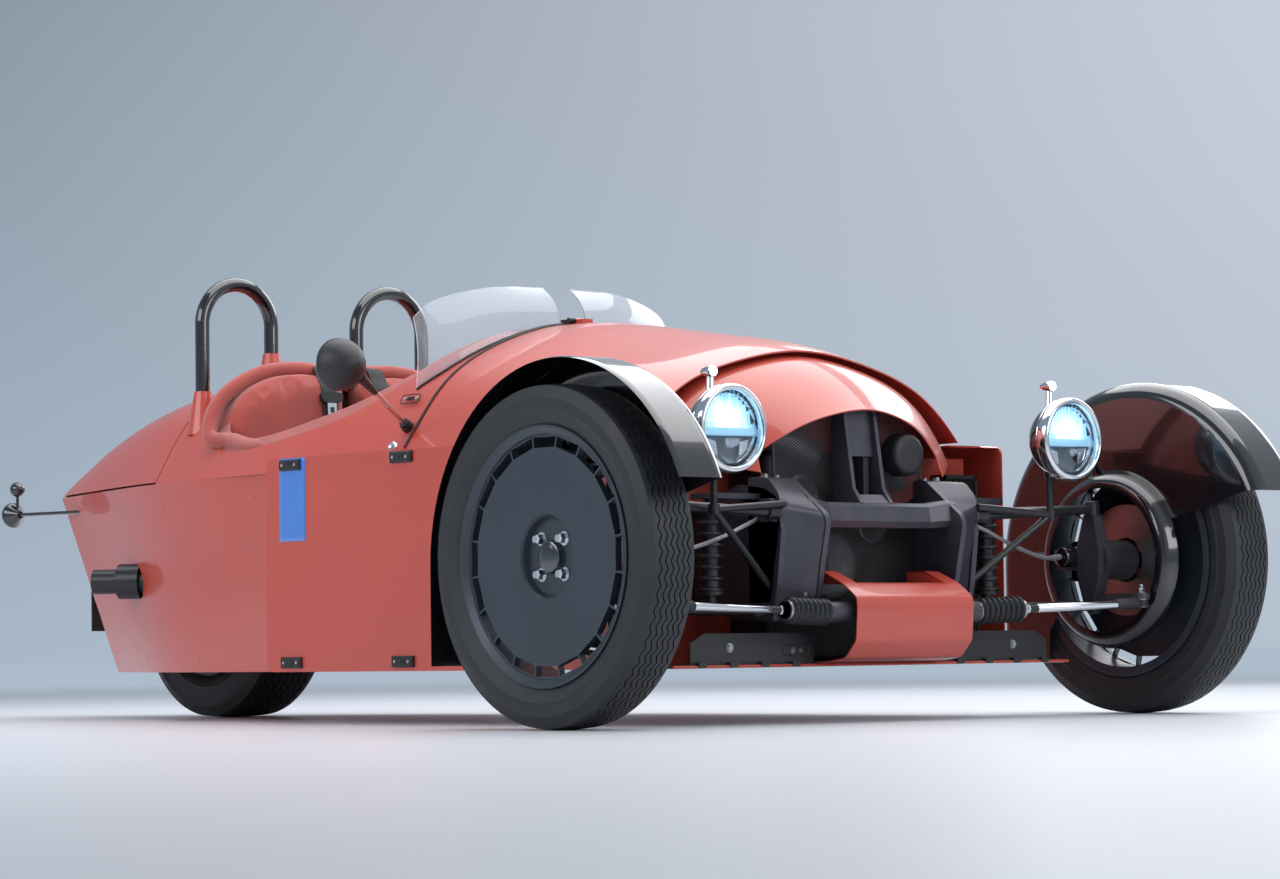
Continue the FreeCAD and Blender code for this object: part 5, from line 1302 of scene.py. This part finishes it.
CAMERA_PLACE = (6.492, -6.182, 0.1635)
CAMERA_AZIMUTH, CAMERA_PITCH, CAMERA_ROLL = 49.603, 2.971, -0.7755
CAMERA_FOCUS = 4050.8
PHOTO_WIDTH = 1280
WALL_LEFT = ((0.392, 0.479, 0.571), (0.258, 0.314, 0.381))
WALL_RIGHT = ((0.456, 0.533, 0.624), (0.578, 0.624, 0.701))
WALL_LOW = (0.42, 0.503, 0.596)
FLOOR_COLOUR = (0.66, 0.68, 0.73)
FLOOR_REACH = 90
FADE_START, FADE_END = 4.5, 15
# How far to each side and how high the wall's colours change, in a unit direction
WALL_SIDE, WALL_TOP = 0.16, 0.16


def camera():
    """Camera fitted to the photo, from its place and its three turns."""
    turn, pitch, roll = (math.radians(a) for a in (CAMERA_AZIMUTH, CAMERA_PITCH, CAMERA_ROLL))
    ahead = Vector((-math.sin(turn) * math.cos(pitch), math.cos(turn) * math.cos(pitch), math.sin(pitch)))
    right = Vector((math.cos(turn), math.sin(turn), 0))
    up = right.cross(ahead)
    tilted_right = right * math.cos(roll) + up * math.sin(roll)
    tilted_up = up * math.cos(roll) - right * math.sin(roll)
    data = bpy.data.cameras.new("camera")
    data.sensor_width = 36
    data.lens = data.sensor_width * CAMERA_FOCUS / PHOTO_WIDTH
    data.clip_end = 200
    eye = bpy.data.objects.new("camera", data)
    turned = Matrix((tilted_right, tilted_up, -ahead)).transposed().to_4x4()
    eye.matrix_world = Matrix.Translation(at(*CAMERA_PLACE)) @ turned
    bpy.context.collection.objects.link(eye)
    bpy.context.scene.camera = eye


def world():
    """Pale wall colour for what is seen, plain soft light for what is lit."""
    space = bpy.data.worlds.new("studio")
    bpy.context.scene.world = space
    space.use_nodes = True
    tree = space.node_tree
    spot = add(tree, "TexCoord", "Generated", {})
    up = add(tree, "SeparateXYZ", "Z", {"Vector": spot})
    turn = math.radians(CAMERA_AZIMUTH)
    across = add(tree, "VectorMath", "Value", {0: spot, 1: (math.cos(turn), math.sin(turn), 0)},
                 operation="DOT_PRODUCT")
    spread = add(tree, "MapRange", "Result", {"Value": across, "From Min": -WALL_SIDE, "From Max": WALL_SIDE})
    left, right = (ramp(tree, up, (0, low), (WALL_TOP, high)) for low, high in (WALL_LEFT, WALL_RIGHT))
    wall = add(tree, "Mix", "Result", {"Factor": spread, "A": left, "B": right}, data_type="RGBA")
    seen = add(tree, "Background", "Background", {"Color": wall})
    light = tree.nodes["Background"]
    fill(tree, light, {"Color": (0.86, 0.92, 1, 1), "Strength": 0.48})
    total = add(tree, "LightPath", "Is Camera Ray", {})
    for kind in ("Is Glossy Ray", "Is Transmission Ray"):
        total = add(tree, "Math", "Value", {0: total, 1: add(tree, "LightPath", kind, {})},
                    operation="MAXIMUM")
    mixed = add(tree, "MixShader", "Shader", {"Fac": total, 1: light.outputs["Background"], 2: seen})
    fill(tree, tree.nodes["World Output"], {"Surface": mixed})


def floor():
    """Round pale floor that fades into the wall colour far from the car."""
    form = bmesh.new()
    bmesh.ops.create_circle(form, cap_ends=True, segments=96, radius=FLOOR_REACH)
    mesh = bpy.data.meshes.new("floor")
    form.to_mesh(mesh)
    form.free()
    ground = bpy.data.objects.new("floor", mesh)
    bpy.context.collection.objects.link(ground)
    material, tree = new_material("studio_floor")
    shade(tree, {"Base Color": (*FLOOR_COLOUR, 1), "Roughness": 0.35, "Specular IOR Level": 0.25})
    spot = add(tree, "TexCoord", "Object", {})
    length = add(tree, "VectorMath", "Value", {0: spot}, operation="LENGTH")
    fade = add(tree, "MapRange", "Result",
               {"Value": length, "From Min": FADE_START, "From Max": FADE_END},
               interpolation_type="SMOOTHSTEP")
    wall = add(tree, "Emission", "Emission", {"Color": (*WALL_LOW, 1)})
    near = tree.nodes["Principled BSDF"].outputs["BSDF"]
    mixed = add(tree, "MixShader", "Shader", {"Fac": fade, 1: near, 2: wall})
    fill(tree, tree.nodes["Material Output"], {"Surface": mixed})
    mesh.materials.append(material)


def soft_light(name, place, aim, wide, tall, power):
    """Rectangular lamp turned towards a point, which isn't seen itself."""
    data = bpy.data.lights.new(name, "AREA")
    data.shape = "RECTANGLE"
    data.size, data.size_y = wide, tall
    data.energy = power
    lamp = bpy.data.objects.new(name, data)
    lamp.location = place
    lamp.rotation_euler = (Vector(aim) - Vector(place)).to_track_quat("-Z", "Y").to_euler()
    lamp.visible_camera = False
    bpy.context.collection.objects.link(lamp)


def lights():
    soft_light("overhead", (0, 0.9, 4.2), (0, 0.4, 0.4), 6, 5.2, 255)
    soft_light("near_side", (-0.5, -6, 3.4), (0, 0, 0.5), 6, 2.4, 155)
    soft_light("front", (6.5, 1, 2.6), (0.5, 0, 0.5), 3, 2.4, 90)
    soft_light("far_side", (-1, 5.5, 3.2), (0, 0, 0.6), 5, 2, 90)


dress_nodes()
for side in SIDES:
    treaded_tyre(f"tyre_front_{side_name(side)}", f"wheel_{side_name(side)}", 0.2623, 7, 66, 0.0034, 0.0042)
treaded_tyre("tyre_rear", "wheel_rear", 0.1963, 8, 60, 0.005, 0.005)
for side in SIDES:
    wheel_nuts(side)
blade_stripe()
for side in SIDES:
    lamp_housing(side)
    headlamp_inside(side)
    lamp_trim(side)
    tail_lamp_glass(side)
    knuckle_trim(side)
    brake_hose(side)
fine_mesh()
mesh_cap()
engine_front()
cast_cheeks()
cast_strut()
cover_shell()
wind_screens()
bonnet_seal()
port_forms()
tray_front()
radiator_fins()
mirror_trim()
body_fasteners()
frame_bolts()
gaiters()
rack_trim()
tie_rod_trim()
seat_backs = seats()
cockpit_roll()
belts(seat_backs)
dash_fittings()
camera()
world()
floor()
lights()
bpy.context.scene.view_settings.view_transform = "Standard"
